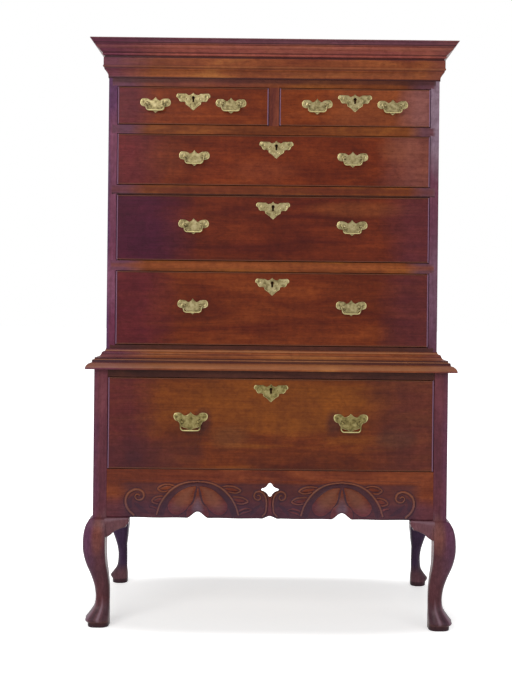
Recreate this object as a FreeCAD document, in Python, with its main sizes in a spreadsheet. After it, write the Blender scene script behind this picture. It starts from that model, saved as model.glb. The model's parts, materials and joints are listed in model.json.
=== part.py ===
import FreeCAD, Part
import Sketcher
import math
import os
import re

# A flat-topped chest of drawers standing on a one-drawer stand with cabriole legs (a highboy).
# Frame: +Z up, the drawers face -Y, +X is the viewer's right. The origin lies on the floor under
# the middle of the whole piece. All sizes are millimetres and live in the sheet called Sizes.

doc = FreeCAD.newDocument("Highboy")
sheet = doc.addObject("Spreadsheet::Sheet", "Sizes")
Vector = FreeCAD.Vector

SIZES = {
    # the stand
    "base_width": 1030, "base_depth": 500, "base_bottom": 318, "base_top": 750, "post_size": 40,
    "base_side_thick": 22, "base_back_thick": 18, "base_back_raise": 34,
    "base_rail_height": 22, "apron_height": 142,
    "apron_thick": 22, "tenon_length": 14, "tenon_thick": 8, "tenon_shoulder": 7,
    # the chest above it
    "upper_inset": 29, "upper_set_back": 33, "case_top": 1690, "side_thick": 25,
    "rail_depth": 70, "rail_thick": 22, "dovetail_length": 14, "dovetail_flare": 3,
    "top_board_thick": 18, "bottom_board_thick": 15, "back_board_thick": 12,
    "back_board_count": 4, "rabbet": 10, "bottom_rail_height": 70, "divider_width": 29,
    "blade_low": 30, "blade_middle": 28, "blade_high": 26, "top_rail_height": 92,
    # the chest's openings share the height between its rails in these proportions
    "fourth_share": 218, "third_share": 194, "second_share": 151, "top_share": 113,
    # what the drawers run on
    "runner_width": 31, "runner_height": 15, "base_runner_width": 35, "base_runner_height": 20,
    "guide_height": 40, "centre_runner_width": 120,
    # drawers
    "drawer_gap": 2, "run_clear": 0.5, "bead_thick": 3, "bead_proud": 2, "bead_depth": 10,
    "bead_round": 1.2,
    "front_thick": 22, "drawer_side_thick": 12, "drawer_back_thick": 12,
    "drawer_bottom_thick": 8, "drawer_back_gap": 15, "groove": 5,
    "side_drop": 8, "bottom_raise": 8, "tail_pitch": 46, "pin_width": 13, "tail_flare": 3,
    # locks
    "lock_width": 62, "lock_height": 48, "lock_thick": 11, "bolt_width": 20, "bolt_thick": 4.6,
    "bolt_height": 22, "bolt_clear": 0.2, "bolt_travel": 8, "mortise_clear": 1.5,
    "keyhole_radius": 4, "keyhole_slot": 5, "keyhole_height": 17, "keyhole_drop": 34,
    "second_lock_shift": 8,
    # drop handles
    "plate_half_width": 45, "base_plate_half_width": 50, "plate_thick": 1.5, "post_spacing": 46,
    "shank_radius": 2.5, "hole_clear": 0.1, "collar_radius": 4.5, "collar_thick": 3,
    "neck_radius": 2.7, "eye_radius": 4.5, "eye_thick": 6, "pivot_standoff": 10, "pin_radius": 1.9,
    "wire_radius": 2.3, "eye_gap": 0.4, "bail_drop": 20.5, "base_bail_drop": 25, "bail_bend": 9,
    "nut_size": 11, "nut_thick": 4, "shank_past_nut": 2,
    "handle_rise": 9, "low_handle_rise": 6, "handle_share": 0.5054, "top_handle_share": 0.497,
    "shield_half_width": 49.5,
    # the waist moulding, heights above the joint between stand and chest
    "waist_out": 53, "waist_lip": 3, "waist_nose_bulge": 4, "waist_nose_head_out": 36,
    "waist_nose_head": 19, "waist_shelf_out": 35, "waist_shelf_edge": 27, "waist_fillet_out": 29,
    "waist_fillet_foot": 29, "waist_fillet_head": 34, "waist_ogee_middle_out": 11,
    "waist_ogee_middle": 45, "waist_ogee_bend": 3, "waist_head_out": 1.5, "waist_height": 62,
    # the cornice, heights above its lowest edge
    "cornice_lap": 86, "cornice_height": 108, "cornice_out": 49, "cove_foot_out": 3,
    "cove_foot": 3, "cove_head_out": 12, "cove_head": 22, "cove_bend": 3.5, "listel_out": 16,
    "listel_head": 25, "band_out": 14.5, "band_head": 53, "band_bulge": 1.5, "bead_foot": 55,
    "bead_head": 60, "cornice_bead_bulge": 2.2, "step_out": 18, "step_foot": 62, "step_head": 65,
    "crown_foot_out": 20, "crown_middle_out": 32, "crown_middle": 80, "crown_head_out": 45,
    "crown_head": 93, "crown_bend": 2.5, "glue_block_size": 16, "glue_block_length": 60,
    # apron outline, heights above its lowest edge
    "side_notch_share": 0.442, "side_notch_half": 29, "side_notch_rise": 18, "middle_notch_half": 21,
    "middle_notch_rise": 8, "star_height": 84, "star_reach": 26, "star_up": 21, "star_down": 22,
    "lobe_half": 7, "lobe_rise": 6, "tip_half": 5, "tip_rise": 4.4, "star_waist": 2,
    # knee brackets
    "bracket_reach": 64, "bracket_tip_height": 18, "bracket_heel": 58, "bracket_heel_height": 27,
    "bracket_step": 23, "bracket_step_height": 40, "bracket_height": 56, "bracket_round": 2.5,
    "bracket_bend": 2, "bracket_thick": 20, "bracket_proud": 15, "bracket_tip_proud": 3,
    "bracket_hollow": 3,
    # legs
    "post_round": 1.5, "rear_slim": 11,
}

# The cabriole curve, one row a section: its name, whether its level is a drop from the case or a
# height over the floor, that level, the outward face and the inward face (both measured from the
# case's outer face), the radius of the outer and inner corners and that of the two flank corners.
LEG_SECTIONS = [
    ("brow", "drop", 4, 9.0, 40, 5, 2), ("forehead", "drop", 18, 17.0, 40, 9, 2.5),
    ("knee_upper", "drop", 34, 22.0, 40, 12, 3), ("knee", "drop", 63, 25.5, 40, 14, 5),
    ("knee_lower", "drop", 96, 24.5, 40, 14, 9), ("calf", "drop", 129, 17.8, 41, 14, 12),
    ("shin", "floor", 149, 4.4, 45.5, 15, 14), ("ankle_upper", "floor", 112, -5.1, 48, 16, 16),
    ("ankle", "floor", 79, -7.2, 48.5, 17, 17), ("ankle_lower", "floor", 57, -3.7, 48.5, 18, 18),
    ("instep", "floor", 35, 11.0, 49, 20, 20), ("toe", "floor", 24, 18.5, 49, 21, 21),
    ("sole_edge", "floor", 8, 13.5, 48.5, 21, 21), ("sole", "floor", 0, 9.0, 48, 20, 20),
]
for section, origin, level, out, back, corner, flank in LEG_SECTIONS:
    SIZES[section + "_level"] = level
    SIZES[section + "_out"] = out
    SIZES[section + "_back"] = back
    SIZES[section + "_corner"] = corner
    SIZES[section + "_flank"] = flank

# Openings that follow from the case's height, worked out in cells of their own.
OPENINGS = {
    level + "_opening": f"=(case_top - top_board_thick - top_rail_height - blade_high"
                        f" - blade_middle - blade_low - bottom_rail_height - base_top)"
                        f" * {level}_share / (fourth_share + third_share + second_share + top_share)"
    for level in ("fourth", "third", "second", "top")}

CELLS = {**SIZES, **OPENINGS}
for row, (alias, number) in enumerate(CELLS.items(), start=1):
    sheet.set(f"A{row}", alias)
    sheet.set(f"B{row}", str(number))
    sheet.setAlias(f"B{row}", alias)
doc.recompute()


def tied(words):
    """The expression with every cell's name pointed at the sheet."""
    return re.sub(r"[a-z][a-z_]*", lambda m: "Sizes." + m[0] if m[0] in CELLS else m[0], words)


def number_of(words):
    """What an expression in size names comes to, from the sheet's own cells."""
    value = sheet.evalExpression(tied(words))
    return float(getattr(value, "Value", value))


def bind(thing, **sizes):
    """Ties properties of an object to expressions; __ in a name stands for a dot."""
    for name, words in sizes.items():
        thing.setExpression(name.replace("__", "."), tied(words))
    return thing


def place(thing, x="0", y="0", z="0"):
    """Puts an object's own origin at a point given by three expressions."""
    return bind(thing, Placement__Base__x=x, Placement__Base__y=y, Placement__Base__z=z)


def board(name, x, y, z, long, wide, high):
    """A squared board with its lowest corner at x, y, z."""
    box = doc.addObject("Part::Box", name)
    bind(box, Length=long, Width=wide, Height=high)
    return place(box, x, y, z)


def rod(name, radius, length, x="0", y="0", z="0", axis="z"):
    """A round bar that starts at x, y, z and runs along +X, +Y or +Z."""
    bar = doc.addObject("Part::Cylinder", name)
    bind(bar, Radius=radius, Height=length)
    turns = {"x": (Vector(0, 1, 0), 90), "y": (Vector(1, 0, 0), -90), "z": (Vector(0, 0, 1), 0)}
    bar.Placement = FreeCAD.Placement(Vector(), FreeCAD.Rotation(*turns[axis]))
    return place(bar, x, y, z)


def cut(name, base, *tools):
    """One object with others taken away."""
    result = doc.addObject("Part::Cut", name)
    result.Base = base
    result.Tool = tools[0] if len(tools) == 1 else group(name + "_tools", *tools)
    return result


def fuse(name, *things):
    """Objects joined into one solid."""
    result = doc.addObject("Part::MultiFuse", name)
    result.Shapes = list(things)
    result.Refine = True
    return result


def group(name, *things):
    """Separate solids that share one name."""
    result = doc.addObject("Part::Compound", name)
    result.Links = list(things)
    return result


def mirrored(name, thing):
    """The same piece on the other side of the middle plane."""
    result = doc.addObject("Part::Mirroring", name)
    result.Source = thing
    result.Normal = Vector(1, 0, 0)
    return result


def copy_at(name, thing, x, y, z):
    """Another of the same piece, at a point."""
    link = doc.addObject("App::Link", name)
    link.LinkedObject = thing
    return place(link, x, y, z)


def draw_loop(sketch, corners):
    """Draws a closed outline of (across, up, sagitta) corners and ties every point to the sheet.
    The sagitta belongs to the stretch that leaves the corner: None is straight, and a positive
    one bulges to the right of the way round, which is outwards where the loop runs anticlockwise."""
    spots = [Vector(number_of(across), number_of(up), 0) for across, up, _ in corners]
    stretches = []
    for spot, after, (_, _, sagitta) in zip(spots, spots[1:] + spots[:1], corners):
        if sagitta is None:
            stretches.append((sketch.addGeometry(Part.LineSegment(spot, after)), 1, 2))
            continue
        rise = number_of(sagitta)
        chord = after - spot
        right = Vector(chord.y, -chord.x, 0) / chord.Length
        radius = (chord.Length ** 2 / 4 + rise ** 2) / (2 * abs(rise))
        centre = (spot + after) / 2 + right * (rise - math.copysign(radius, rise))
        first, last = (spot, after) if rise > 0 else (after, spot)
        turn = [math.atan2(end.y - centre.y, end.x - centre.x) for end in (first, last)]
        circle = Part.Circle(centre, Vector(0, 0, 1), radius)
        arc = sketch.addGeometry(Part.ArcOfCircle(circle, turn[0], turn[1]))
        stretches.append((arc, 1, 2) if rise > 0 else (arc, 2, 1))
    for k, (across, up, sagitta) in enumerate(corners):
        edge, start, _ = stretches[k]
        before, _, end = stretches[k - 1]
        sketch.addConstraint(Sketcher.Constraint("Coincident", before, end, edge, start))
        for kind, words in (("DistanceX", across), ("DistanceY", up)):
            spot = sketch.addConstraint(
                Sketcher.Constraint(kind, -1, 1, edge, start, number_of(words)))
            sketch.setExpression(f"Constraints[{spot}]", tied(words))
        if sagitta is not None:
            next_across, next_up, _ = corners[(k + 1) % len(corners)]
            radius = (f"((({across}) - ({next_across}))^2 + (({up}) - ({next_up}))^2)"
                      f" / (8 * abs({sagitta})) + abs({sagitta}) / 2")
            spot = sketch.addConstraint(Sketcher.Constraint("Radius", edge, number_of(radius)))
            sketch.setExpression(f"Constraints[{spot}]", tied(radius))


def draw_circle(sketch, across, up, radius):
    """Draws a circle whose centre and radius are tied to the sheet."""
    centre = Vector(number_of(across), number_of(up), 0)
    ring = sketch.addGeometry(Part.Circle(centre, Vector(0, 0, 1), number_of(radius)))
    for kind, words in (("DistanceX", across), ("DistanceY", up)):
        spot = sketch.addConstraint(Sketcher.Constraint(kind, -1, 1, ring, 3, number_of(words)))
        sketch.setExpression(f"Constraints[{spot}]", tied(words))
    spot = sketch.addConstraint(Sketcher.Constraint("Radius", ring, number_of(radius)))
    sketch.setExpression(f"Constraints[{spot}]", tied(radius))


def plane_of(body, role):
    """One of a body's own origin planes."""
    return next(plane for plane in body.Origin.OriginFeatures if plane.Role == role)


def body_sketch(body, name, role, lift=None):
    """A sketch on a body's own plane, lifted along its normal by an expression."""
    sketch = body.newObject("Sketcher::SketchObject", name)
    sketch.AttachmentSupport = [(plane_of(body, role), "")]
    sketch.MapMode = "FlatFace"
    if lift:
        bind(sketch, AttachmentOffset__Base__z=lift)
    return sketch


def mirrored_half(half, bottom=None):
    """A full outline, anticlockwise, from its right half, which runs from the bottom to the top.
    The last corner's sagitta bends the stretch that crosses the middle at the top, and bottom
    bends the one at the bottom. A half that starts or ends at 0 has no such stretch there."""
    left = []
    for k in range(len(half) - 1, -1, -1):
        across, up, _ = half[k]
        left.append((f"-({across})", up, half[k - 1][2] if k else bottom))
    if half[-1][0] == "0":
        half = half[:-1] + [("0", half[-1][1], half[-2][2])]
        left = left[1:]
    if half[0][0] == "0":
        left = left[:-1]
    return half + left


# ---------------------------------------------------------------------------------------------
# Where things are, in the words of the sheet
# ---------------------------------------------------------------------------------------------
BASE_HALF = "(base_width / 2)"
BASE_FACE = "(-base_depth / 2)"
BASE_BACK = "(base_depth / 2)"
POST_INNER = "(base_width / 2 - post_size)"
UPPER_HALF = "(base_width / 2 - upper_inset)"
UPPER_FACE = "(upper_set_back - base_depth / 2)"
UPPER_INNER = "(base_width / 2 - upper_inset - side_thick)"
APRON_TOP = "(base_bottom + apron_height)"
BASE_OPENING = "(base_top - base_rail_height - base_bottom - apron_height)"
FOURTH_LOW = "(base_top + bottom_rail_height)"
THIRD_LOW = f"({FOURTH_LOW} + fourth_opening + blade_low)"
SECOND_LOW = f"({THIRD_LOW} + third_opening + blade_middle)"
TOP_LOW = f"({SECOND_LOW} + second_opening + blade_high)"
TOP_RAIL_LOW = f"({TOP_LOW} + top_opening)"
TOP_BOARD_LOW = "(case_top - top_board_thick)"
CORNICE_LOW = "(case_top - cornice_lap)"
UPPER_BACK_FACE = "(base_depth / 2 - back_board_thick)"
TOP_DRAWER_MIDDLE = f"(({UPPER_INNER} + divider_width / 2) / 2)"
TOP_DRAWER_HALF = f"(({UPPER_INNER} - divider_width / 2) / 2)"
CHEST_DRAWER_LENGTH = f"({UPPER_BACK_FACE} - {UPPER_FACE} - drawer_back_gap)"
STAND_DRAWER_LENGTH = "(base_depth - base_back_thick - drawer_back_gap)"
HANDLE_SPREAD = f"(handle_share * {UPPER_INNER})"
TOP_HANDLE_SPREAD = f"(top_handle_share * {TOP_DRAWER_HALF})"
SIDE_NOTCH_AT = f"(side_notch_share * {POST_INNER})"


def lock_spot(low, opening):
    """Height of a drawer front's top edge, where its lock sits."""
    return f"({low} + {opening} - drawer_gap)"


def bolt_mortise(name, centre, face, rail_low):
    """The blind hole in a rail that a drawer's lock bolt rises into."""
    return board(name, f"{centre} - bolt_width / 2 - mortise_clear",
                 f"{face} + front_thick - lock_thick / 2 - bolt_thick / 2 - mortise_clear",
                 f"{rail_low} - 1", "bolt_width + 2 * mortise_clear",
                 "bolt_thick + 2 * mortise_clear", "bolt_travel + mortise_clear + 1")


# ---------------------------------------------------------------------------------------------
# Stand: rails, sides, back, apron
# ---------------------------------------------------------------------------------------------
side_span = "(base_depth - 2 * post_size)"
side_tall = "(base_top - base_bottom)"
right_side_panel = board("base_side_panel", f"{BASE_HALF} - base_side_thick",
                         f"{BASE_FACE} + post_size", "base_bottom", "base_side_thick",
                         side_span, side_tall)
right_side_tenon = board("base_side_tenon",
                         f"{BASE_HALF} - base_side_thick / 2 - tenon_thick / 2",
                         f"{BASE_FACE} + post_size - tenon_length",
                         "base_bottom + tenon_shoulder", "tenon_thick",
                         f"{side_span} + 2 * tenon_length", f"{side_tall} - 2 * tenon_shoulder")
base_side_right = fuse("base_side_right", right_side_panel, right_side_tenon)
base_side_left = mirrored("base_side_left", base_side_right)

back_tall = f"({side_tall} - base_back_raise)"
back_panel = board("base_back_panel", f"-{POST_INNER}", f"{BASE_BACK} - base_back_thick",
                   "base_bottom + base_back_raise", f"2 * {POST_INNER}", "base_back_thick",
                   back_tall)
back_tenon = board("base_back_tenon", f"-{POST_INNER} - tenon_length",
                   f"{BASE_BACK} - base_back_thick / 2 - tenon_thick / 2",
                   "base_bottom + base_back_raise + tenon_shoulder",
                   f"2 * {POST_INNER} + 2 * tenon_length", "tenon_thick",
                   f"{back_tall} - 2 * tenon_shoulder")
base_back = fuse("base_back", back_panel, back_tenon)

rail_blank = board("base_rail_blank", f"-{POST_INNER}", BASE_FACE, "base_top - base_rail_height",
                   f"2 * {POST_INNER}", "rail_depth", "base_rail_height")
rail_tenon = board("base_rail_tenon", f"-{POST_INNER} - tenon_length",
                   f"{BASE_FACE} + tenon_shoulder",
                   "base_top - base_rail_height / 2 - tenon_thick / 2",
                   f"2 * {POST_INNER} + 2 * tenon_length", "post_size - 2 * tenon_shoulder",
                   "tenon_thick")
base_top_rail = cut("base_top_rail", fuse("base_rail_joined", rail_blank, rail_tenon),
                    bolt_mortise("base_mortise", "0", BASE_FACE, "(base_top - base_rail_height)"))

# The apron: a board with a scalloped lower edge and a four-lobed piercing in the middle.
apron_body = doc.addObject("PartDesign::Body", "apron_board")
apron_outline = body_sketch(apron_body, "apron_outline", "XZ_Plane")
draw_loop(apron_outline, mirrored_half([
    ("middle_notch_half", "base_bottom", None),
    (f"{SIDE_NOTCH_AT} - side_notch_half", "base_bottom", "-side_notch_rise"),
    (f"{SIDE_NOTCH_AT} + side_notch_half", "base_bottom", None),
    (POST_INNER, "base_bottom", None),
    (POST_INNER, APRON_TOP, None),
], bottom="-middle_notch_rise"))
apron_pad = apron_body.newObject("PartDesign::Pad", "apron_pad")
apron_pad.Profile = apron_outline
bind(apron_pad, Length="apron_thick")
star_sketch = body_sketch(apron_body, "apron_star", "XZ_Plane")
star_mid = "(base_bottom + star_height)"
draw_loop(star_sketch, mirrored_half([
    ("tip_half", f"{star_mid} - star_down + tip_rise", "-star_waist"),
    ("star_reach - tip_rise", f"{star_mid} - tip_half", "tip_rise"),
    ("star_reach - tip_rise", f"{star_mid} + tip_half", "-star_waist"),
    ("lobe_half", f"{star_mid} + star_up - lobe_rise", "lobe_rise"),
], bottom="tip_rise"))
star_pocket = apron_body.newObject("PartDesign::Pocket", "apron_piercing")
star_pocket.Profile = star_sketch
star_pocket.Type = "ThroughAll"
star_pocket.Reversed = True
apron_body.Tip = star_pocket
place(apron_body, y=f"{BASE_FACE} + apron_thick")
doc.recompute()
apron_tenon = board("apron_tenon", f"-{POST_INNER} - tenon_length",
                    f"{BASE_FACE} + apron_thick / 2 - tenon_thick / 2",
                    "base_bottom + tenon_shoulder", "tenon_length", "tenon_thick",
                    "apron_height - 2 * tenon_shoulder")
apron = fuse("apron", apron_body, apron_tenon, mirrored("apron_tenon_right", apron_tenon))


# ---------------------------------------------------------------------------------------------
# Legs: each is one post and cabriole leg, cut from one piece of wood
# ---------------------------------------------------------------------------------------------
def rounded_square(out, back, corner, flank):
    """A leg's cross-section, seen from above, for the leg at the front right."""
    bend = "(1 - sqrt(0.5))"
    return [
        (f"{flank} - ({back})", f"-({out})", None),
        (f"({out}) - {corner}", f"-({out})", f"{bend} * {corner}"),
        (f"({out})", f"{corner} - ({out})", None),
        (f"({out})", f"({back}) - {flank}", f"{bend} * {flank}"),
        (f"({out}) - {flank}", f"({back})", None),
        (f"{corner} - ({back})", f"({back})", f"{bend} * {corner}"),
        (f"-({back})", f"({back}) - {corner}", None),
        (f"-({back})", f"{flank} - ({out})", f"{bend} * {flank}"),
    ]


def loft(body, name, sketches, ruled):
    """Adds a solid that passes through the sketches, in their order."""
    skin = body.newObject("PartDesign::AdditiveLoft", name)
    skin.Profile = sketches[0]
    skin.Sections = sketches[1:]
    skin.Ruled = ruled
    body.Tip = skin
    return skin


def leg(name, slim):
    """A front-right leg: slim draws its ankle and foot in from the inside by that much."""
    body = doc.addObject("PartDesign::Body", name)
    place(body, BASE_HALF, BASE_FACE)
    post_sketch = body_sketch(body, name + "_post_section", "XY_Plane", "base_bottom")
    draw_loop(post_sketch, [("-post_size", "0", None), ("0", "0", None),
                            ("0", "post_size", None), ("-post_size", "post_size", None)])
    post = body.newObject("PartDesign::Pad", name + "_post")
    post.Profile = post_sketch
    bind(post, Length="base_top - base_bottom")
    shoulder = body_sketch(body, name + "_shoulder_section", "XY_Plane", "base_bottom")
    draw_loop(shoulder, rounded_square("0", "post_size", "post_round", "post_round"))
    drawn = {"shoulder": shoulder}
    for section, origin, *_ in LEG_SECTIONS:
        lift = f"base_bottom - {section}_level" if origin == "drop" else f"{section}_level"
        thinner = f" - {slim}" if origin == "floor" else ""
        sketch = body_sketch(body, f"{name}_{section}", "XY_Plane", lift)
        draw_loop(sketch, rounded_square(f"{section}_out", f"{section}_back{thinner}",
                                         f"{section}_corner", f"{section}_flank"))
        drawn[section] = sketch
    runs = list(drawn)
    loft(body, name + "_knee_top", [drawn[s] for s in runs[:3]], True)
    loft(body, name + "_curve", [drawn[s] for s in runs[2:13]], False)
    loft(body, name + "_foot", [drawn[s] for s in runs[12:]], True)
    return body


def run_of(name, profile, length, x, y, z, turns):
    """A drawn section carried straight for a length; turns lay the sheet of paper down."""
    strip = doc.addObject("Part::Extrusion", name)
    strip.Base = profile
    strip.DirMode = "Custom"
    strip.Dir = Vector(0, 0, 1)
    strip.Solid = True
    bind(strip, LengthFwd=length)
    strip.Placement = FreeCAD.Placement(Vector(), turns)
    return place(strip, x, y, z)


def loose_sketch(name, corners):
    """A drawn outline that belongs to no body."""
    sketch = doc.addObject("Sketcher::SketchObject", name)
    draw_loop(sketch, corners)
    return sketch


STANDING = FreeCAD.Rotation(Vector(1, 0, 0), 90)
OUT_TO_FRONT = FreeCAD.Rotation(Vector(0, 0, 1), -90) * STANDING
ALONG_X = FreeCAD.Rotation(Vector(0, 0, 1), Vector(0, -1, 0), Vector(1, 0, 0))
DOWNWARDS = FreeCAD.Rotation(Vector(1, 0, 0), Vector(0, -1, 0), Vector(0, 0, -1))

# Knee brackets: blocks glued beside each knee, with a rounded tip under the case.
bracket_face = loose_sketch("bracket_face", [
    ("0", "-bracket_height", None), ("0", "0", None), ("-bracket_reach", "0", "bracket_round"),
    ("-bracket_reach", "-bracket_tip_height", "bracket_round"),
    ("-bracket_heel", "-bracket_heel_height", "bracket_round"),
    ("-bracket_step", "-bracket_step_height", "-bracket_bend"),
])
bracket_plan = loose_sketch("bracket_plan", [
    ("0", "-bracket_proud", None), ("0", "bracket_thick", None),
    ("-bracket_reach - bracket_round", "bracket_thick", None),
    ("-bracket_reach - bracket_round", "-bracket_tip_proud", "-bracket_hollow"),
])
bracket_blank = run_of("bracket_blank", bracket_face, "bracket_thick + bracket_proud",
                       POST_INNER, f"{BASE_FACE} + bracket_thick", "base_bottom", STANDING)
bracket_shape = run_of("bracket_shape", bracket_plan, "bracket_height", POST_INNER, BASE_FACE,
                       "base_bottom - bracket_height", FreeCAD.Rotation())
bracket_front = doc.addObject("Part::Common", "bracket_front")
bracket_front.Base = bracket_blank
bracket_front.Tool = bracket_shape
bracket_side = doc.addObject("Part::Mirroring", "bracket_side")
bracket_side.Source = bracket_front
bracket_side.Normal = Vector(1, 1, 0)
bind(bracket_side, Base__x=BASE_HALF, Base__y=BASE_FACE)
bracket_rear = doc.addObject("Part::Mirroring", "bracket_rear")
bracket_rear.Source = bracket_side
bracket_rear.Normal = Vector(0, 1, 0)
brackets = [bracket_front, bracket_side, bracket_rear]
knee_brackets = group("knee_brackets", *brackets,
                      *(mirrored(b.Name + "_left", b) for b in brackets))

# Each leg is cut where rails, panels and brackets meet it.
front_joints = group("front_joints", apron, base_top_rail, base_side_right, bracket_front,
                     bracket_side)
rear_joints = group("rear_joints", base_back, base_side_right, bracket_rear)
leg_front_right = cut("leg_front_right", leg("front_leg_blank", "0"), front_joints)
rear_leg_blank = doc.addObject("Part::Mirroring", "rear_leg_turned")
rear_leg_blank.Source = leg("rear_leg_blank", "rear_slim")
rear_leg_blank.Normal = Vector(0, 1, 0)
leg_rear_right = cut("leg_rear_right", rear_leg_blank, rear_joints)
leg_front_left = mirrored("leg_front_left", leg_front_right)
leg_rear_left = mirrored("leg_rear_left", leg_rear_right)

# ---------------------------------------------------------------------------------------------
# Mouldings: the waist and the cornice share one way of being run and mitred
# ---------------------------------------------------------------------------------------------
waist_section = loose_sketch("waist_section", [
    ("0", "0", None), ("waist_out", "0", None), ("waist_out", "waist_lip", "waist_nose_bulge"),
    ("waist_nose_head_out", "waist_nose_head", None),
    ("waist_shelf_out", "waist_shelf_edge", None),
    ("waist_fillet_out", "waist_fillet_foot", None),
    ("waist_fillet_out", "waist_fillet_head", "-waist_ogee_bend"),
    ("waist_ogee_middle_out", "waist_ogee_middle", "waist_ogee_bend"),
    ("waist_head_out", "waist_height", None), ("0", "waist_height", None),
])
cornice_section = loose_sketch("cornice_section", [
    ("0", "0", None), ("cove_foot_out", "0", None), ("cove_foot_out", "cove_foot", "-cove_bend"),
    ("cove_head_out", "cove_head", None), ("listel_out", "cove_head", None),
    ("listel_out", "listel_head", None), ("band_out", "listel_head", "band_bulge"),
    ("band_out", "band_head", None), ("band_out", "bead_foot", "cornice_bead_bulge"),
    ("band_out", "bead_head", None), ("band_out", "step_foot", None),
    ("step_out", "step_foot", None), ("step_out", "step_head", None),
    ("crown_foot_out", "step_head", "crown_bend"),
    ("crown_middle_out", "crown_middle", "-crown_bend"),
    ("crown_head_out", "crown_head", None), ("cornice_out", "crown_head", None),
    ("cornice_out", "cornice_height", None), ("0", "cornice_height", None),
])


def mitred_run(name, section, reach, low, high):
    """A moulding round the chest's front and sides, mitred at the two front corners: the front
    piece and the pair of returns."""
    span = "(2 * base_depth)"
    quarter = "(base_depth * sqrt(0.5))"
    block = board(name + "_mitre", f"{UPPER_HALF} - {quarter}", f"{UPPER_FACE} + {quarter}",
                  f"{low} - 1", span, span, f"{high} + 2")
    block.Placement = FreeCAD.Placement(block.Placement.Base,
                                        FreeCAD.Rotation(Vector(0, 0, 1), -45))
    place(block, f"{UPPER_HALF} - {quarter}", f"{UPPER_FACE} + {quarter}", f"{low} - 1")
    front_strip = run_of(name + "_front_strip", section, f"2 * ({UPPER_HALF} + {reach})",
                         f"{UPPER_HALF} + {reach}", UPPER_FACE, low, OUT_TO_FRONT)
    side_strip = run_of(name + "_side_strip", section,
                        f"{BASE_BACK} - {UPPER_FACE} + {reach}", UPPER_HALF, BASE_BACK, low,
                        STANDING)
    front = cut(name + "_front", front_strip, block, mirrored(name + "_mitre_left", block))
    right = doc.addObject("Part::Common", name + "_right")
    right.Base = side_strip
    right.Tool = block
    return front, group(name + "_returns", right, mirrored(name + "_left", right))


waist_front, waist_returns = mitred_run("waist_moulding", waist_section, "waist_out", "base_top",
                                        "waist_height")
cornice_front, cornice_returns = mitred_run("cornice", cornice_section, "cornice_out",
                                            CORNICE_LOW, "cornice_height")


def block_on_top(name, x, y, long, wide):
    """A glue block in the angle between the top board and the cornice's back."""
    return board(name, x, y, "case_top", long, wide, "glue_block_size")


front_block_spots = ("-glue_block_length / 2", f"{UPPER_HALF} / 2", f"-{UPPER_HALF} / 2")
glue_blocks = group(
    "glue_blocks",
    *(block_on_top(f"glue_block_front_{k}", spot, UPPER_FACE, "glue_block_length",
                   "glue_block_size") for k, spot in enumerate(front_block_spots)),
    *(block_on_top(f"glue_block_side_{k}_{j}", spot, f"{j} * base_depth / 6 - glue_block_length / 2",
                   "glue_block_size", "glue_block_length")
      for k, spot in enumerate((f"{UPPER_HALF} - glue_block_size", f"-{UPPER_HALF}"))
      for j in (-1, 1)))

# ---------------------------------------------------------------------------------------------
# Runners, guides and kickers in the stand
# ---------------------------------------------------------------------------------------------
inner_depth = "(base_depth - apron_thick - base_back_thick)"
base_runner = board("base_runner", f"{POST_INNER} - base_runner_width",
                    f"{BASE_FACE} + apron_thick", f"{APRON_TOP} - base_runner_height",
                    "base_runner_width", inner_depth, "base_runner_height")
base_guide = board("base_guide", POST_INNER, f"{BASE_FACE} + post_size",
                   f"{APRON_TOP} - base_runner_height", "post_size - base_side_thick", side_span,
                   "guide_height + base_runner_height")
base_kicker = board("base_kicker", f"{POST_INNER} - base_runner_width",
                    f"{BASE_FACE} + rail_depth", "base_top - base_rail_height",
                    "base_runner_width", "base_depth - rail_depth - base_back_thick",
                    "base_rail_height")
base_bearer = board("base_bearer", POST_INNER, f"{BASE_FACE} + post_size",
                    "base_top - base_rail_height", "post_size - base_side_thick", side_span,
                    "base_rail_height")
base_strips = [base_runner, base_guide, base_kicker, base_bearer]
base_runners = group("base_runners", *base_strips,
                     *(mirrored(b.Name + "_left", b) for b in base_strips))


# ---------------------------------------------------------------------------------------------
# Chest: rails, blades, sides, top, bottom, back
# ---------------------------------------------------------------------------------------------
def rail(name, low, high, deep, mortises=()):
    """A rail across the chest's front with a dovetail on each end, let into the sides."""
    blank = board(name + "_blank", f"-{UPPER_INNER}", UPPER_FACE, low, f"2 * {UPPER_INNER}",
                  deep, high)
    tail = doc.addObject("Part::Wedge", name + "_tail")
    bind(tail, Xmin=f"-({deep})", Xmax="0", X2min=f"-({deep})", X2max="0", Ymin="0",
         Ymax="dovetail_length", Zmin="dovetail_flare", Zmax=f"{high} - dovetail_flare",
         Z2min="0", Z2max=high)
    tail.Placement = FreeCAD.Placement(Vector(), FreeCAD.Rotation(Vector(0, 0, 1), -90))
    place(tail, UPPER_INNER, UPPER_FACE, low)
    whole = fuse(name + "_joined", blank, tail, mirrored(name + "_tail_left", tail))
    return cut(name, whole, *mortises) if mortises else whole


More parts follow.
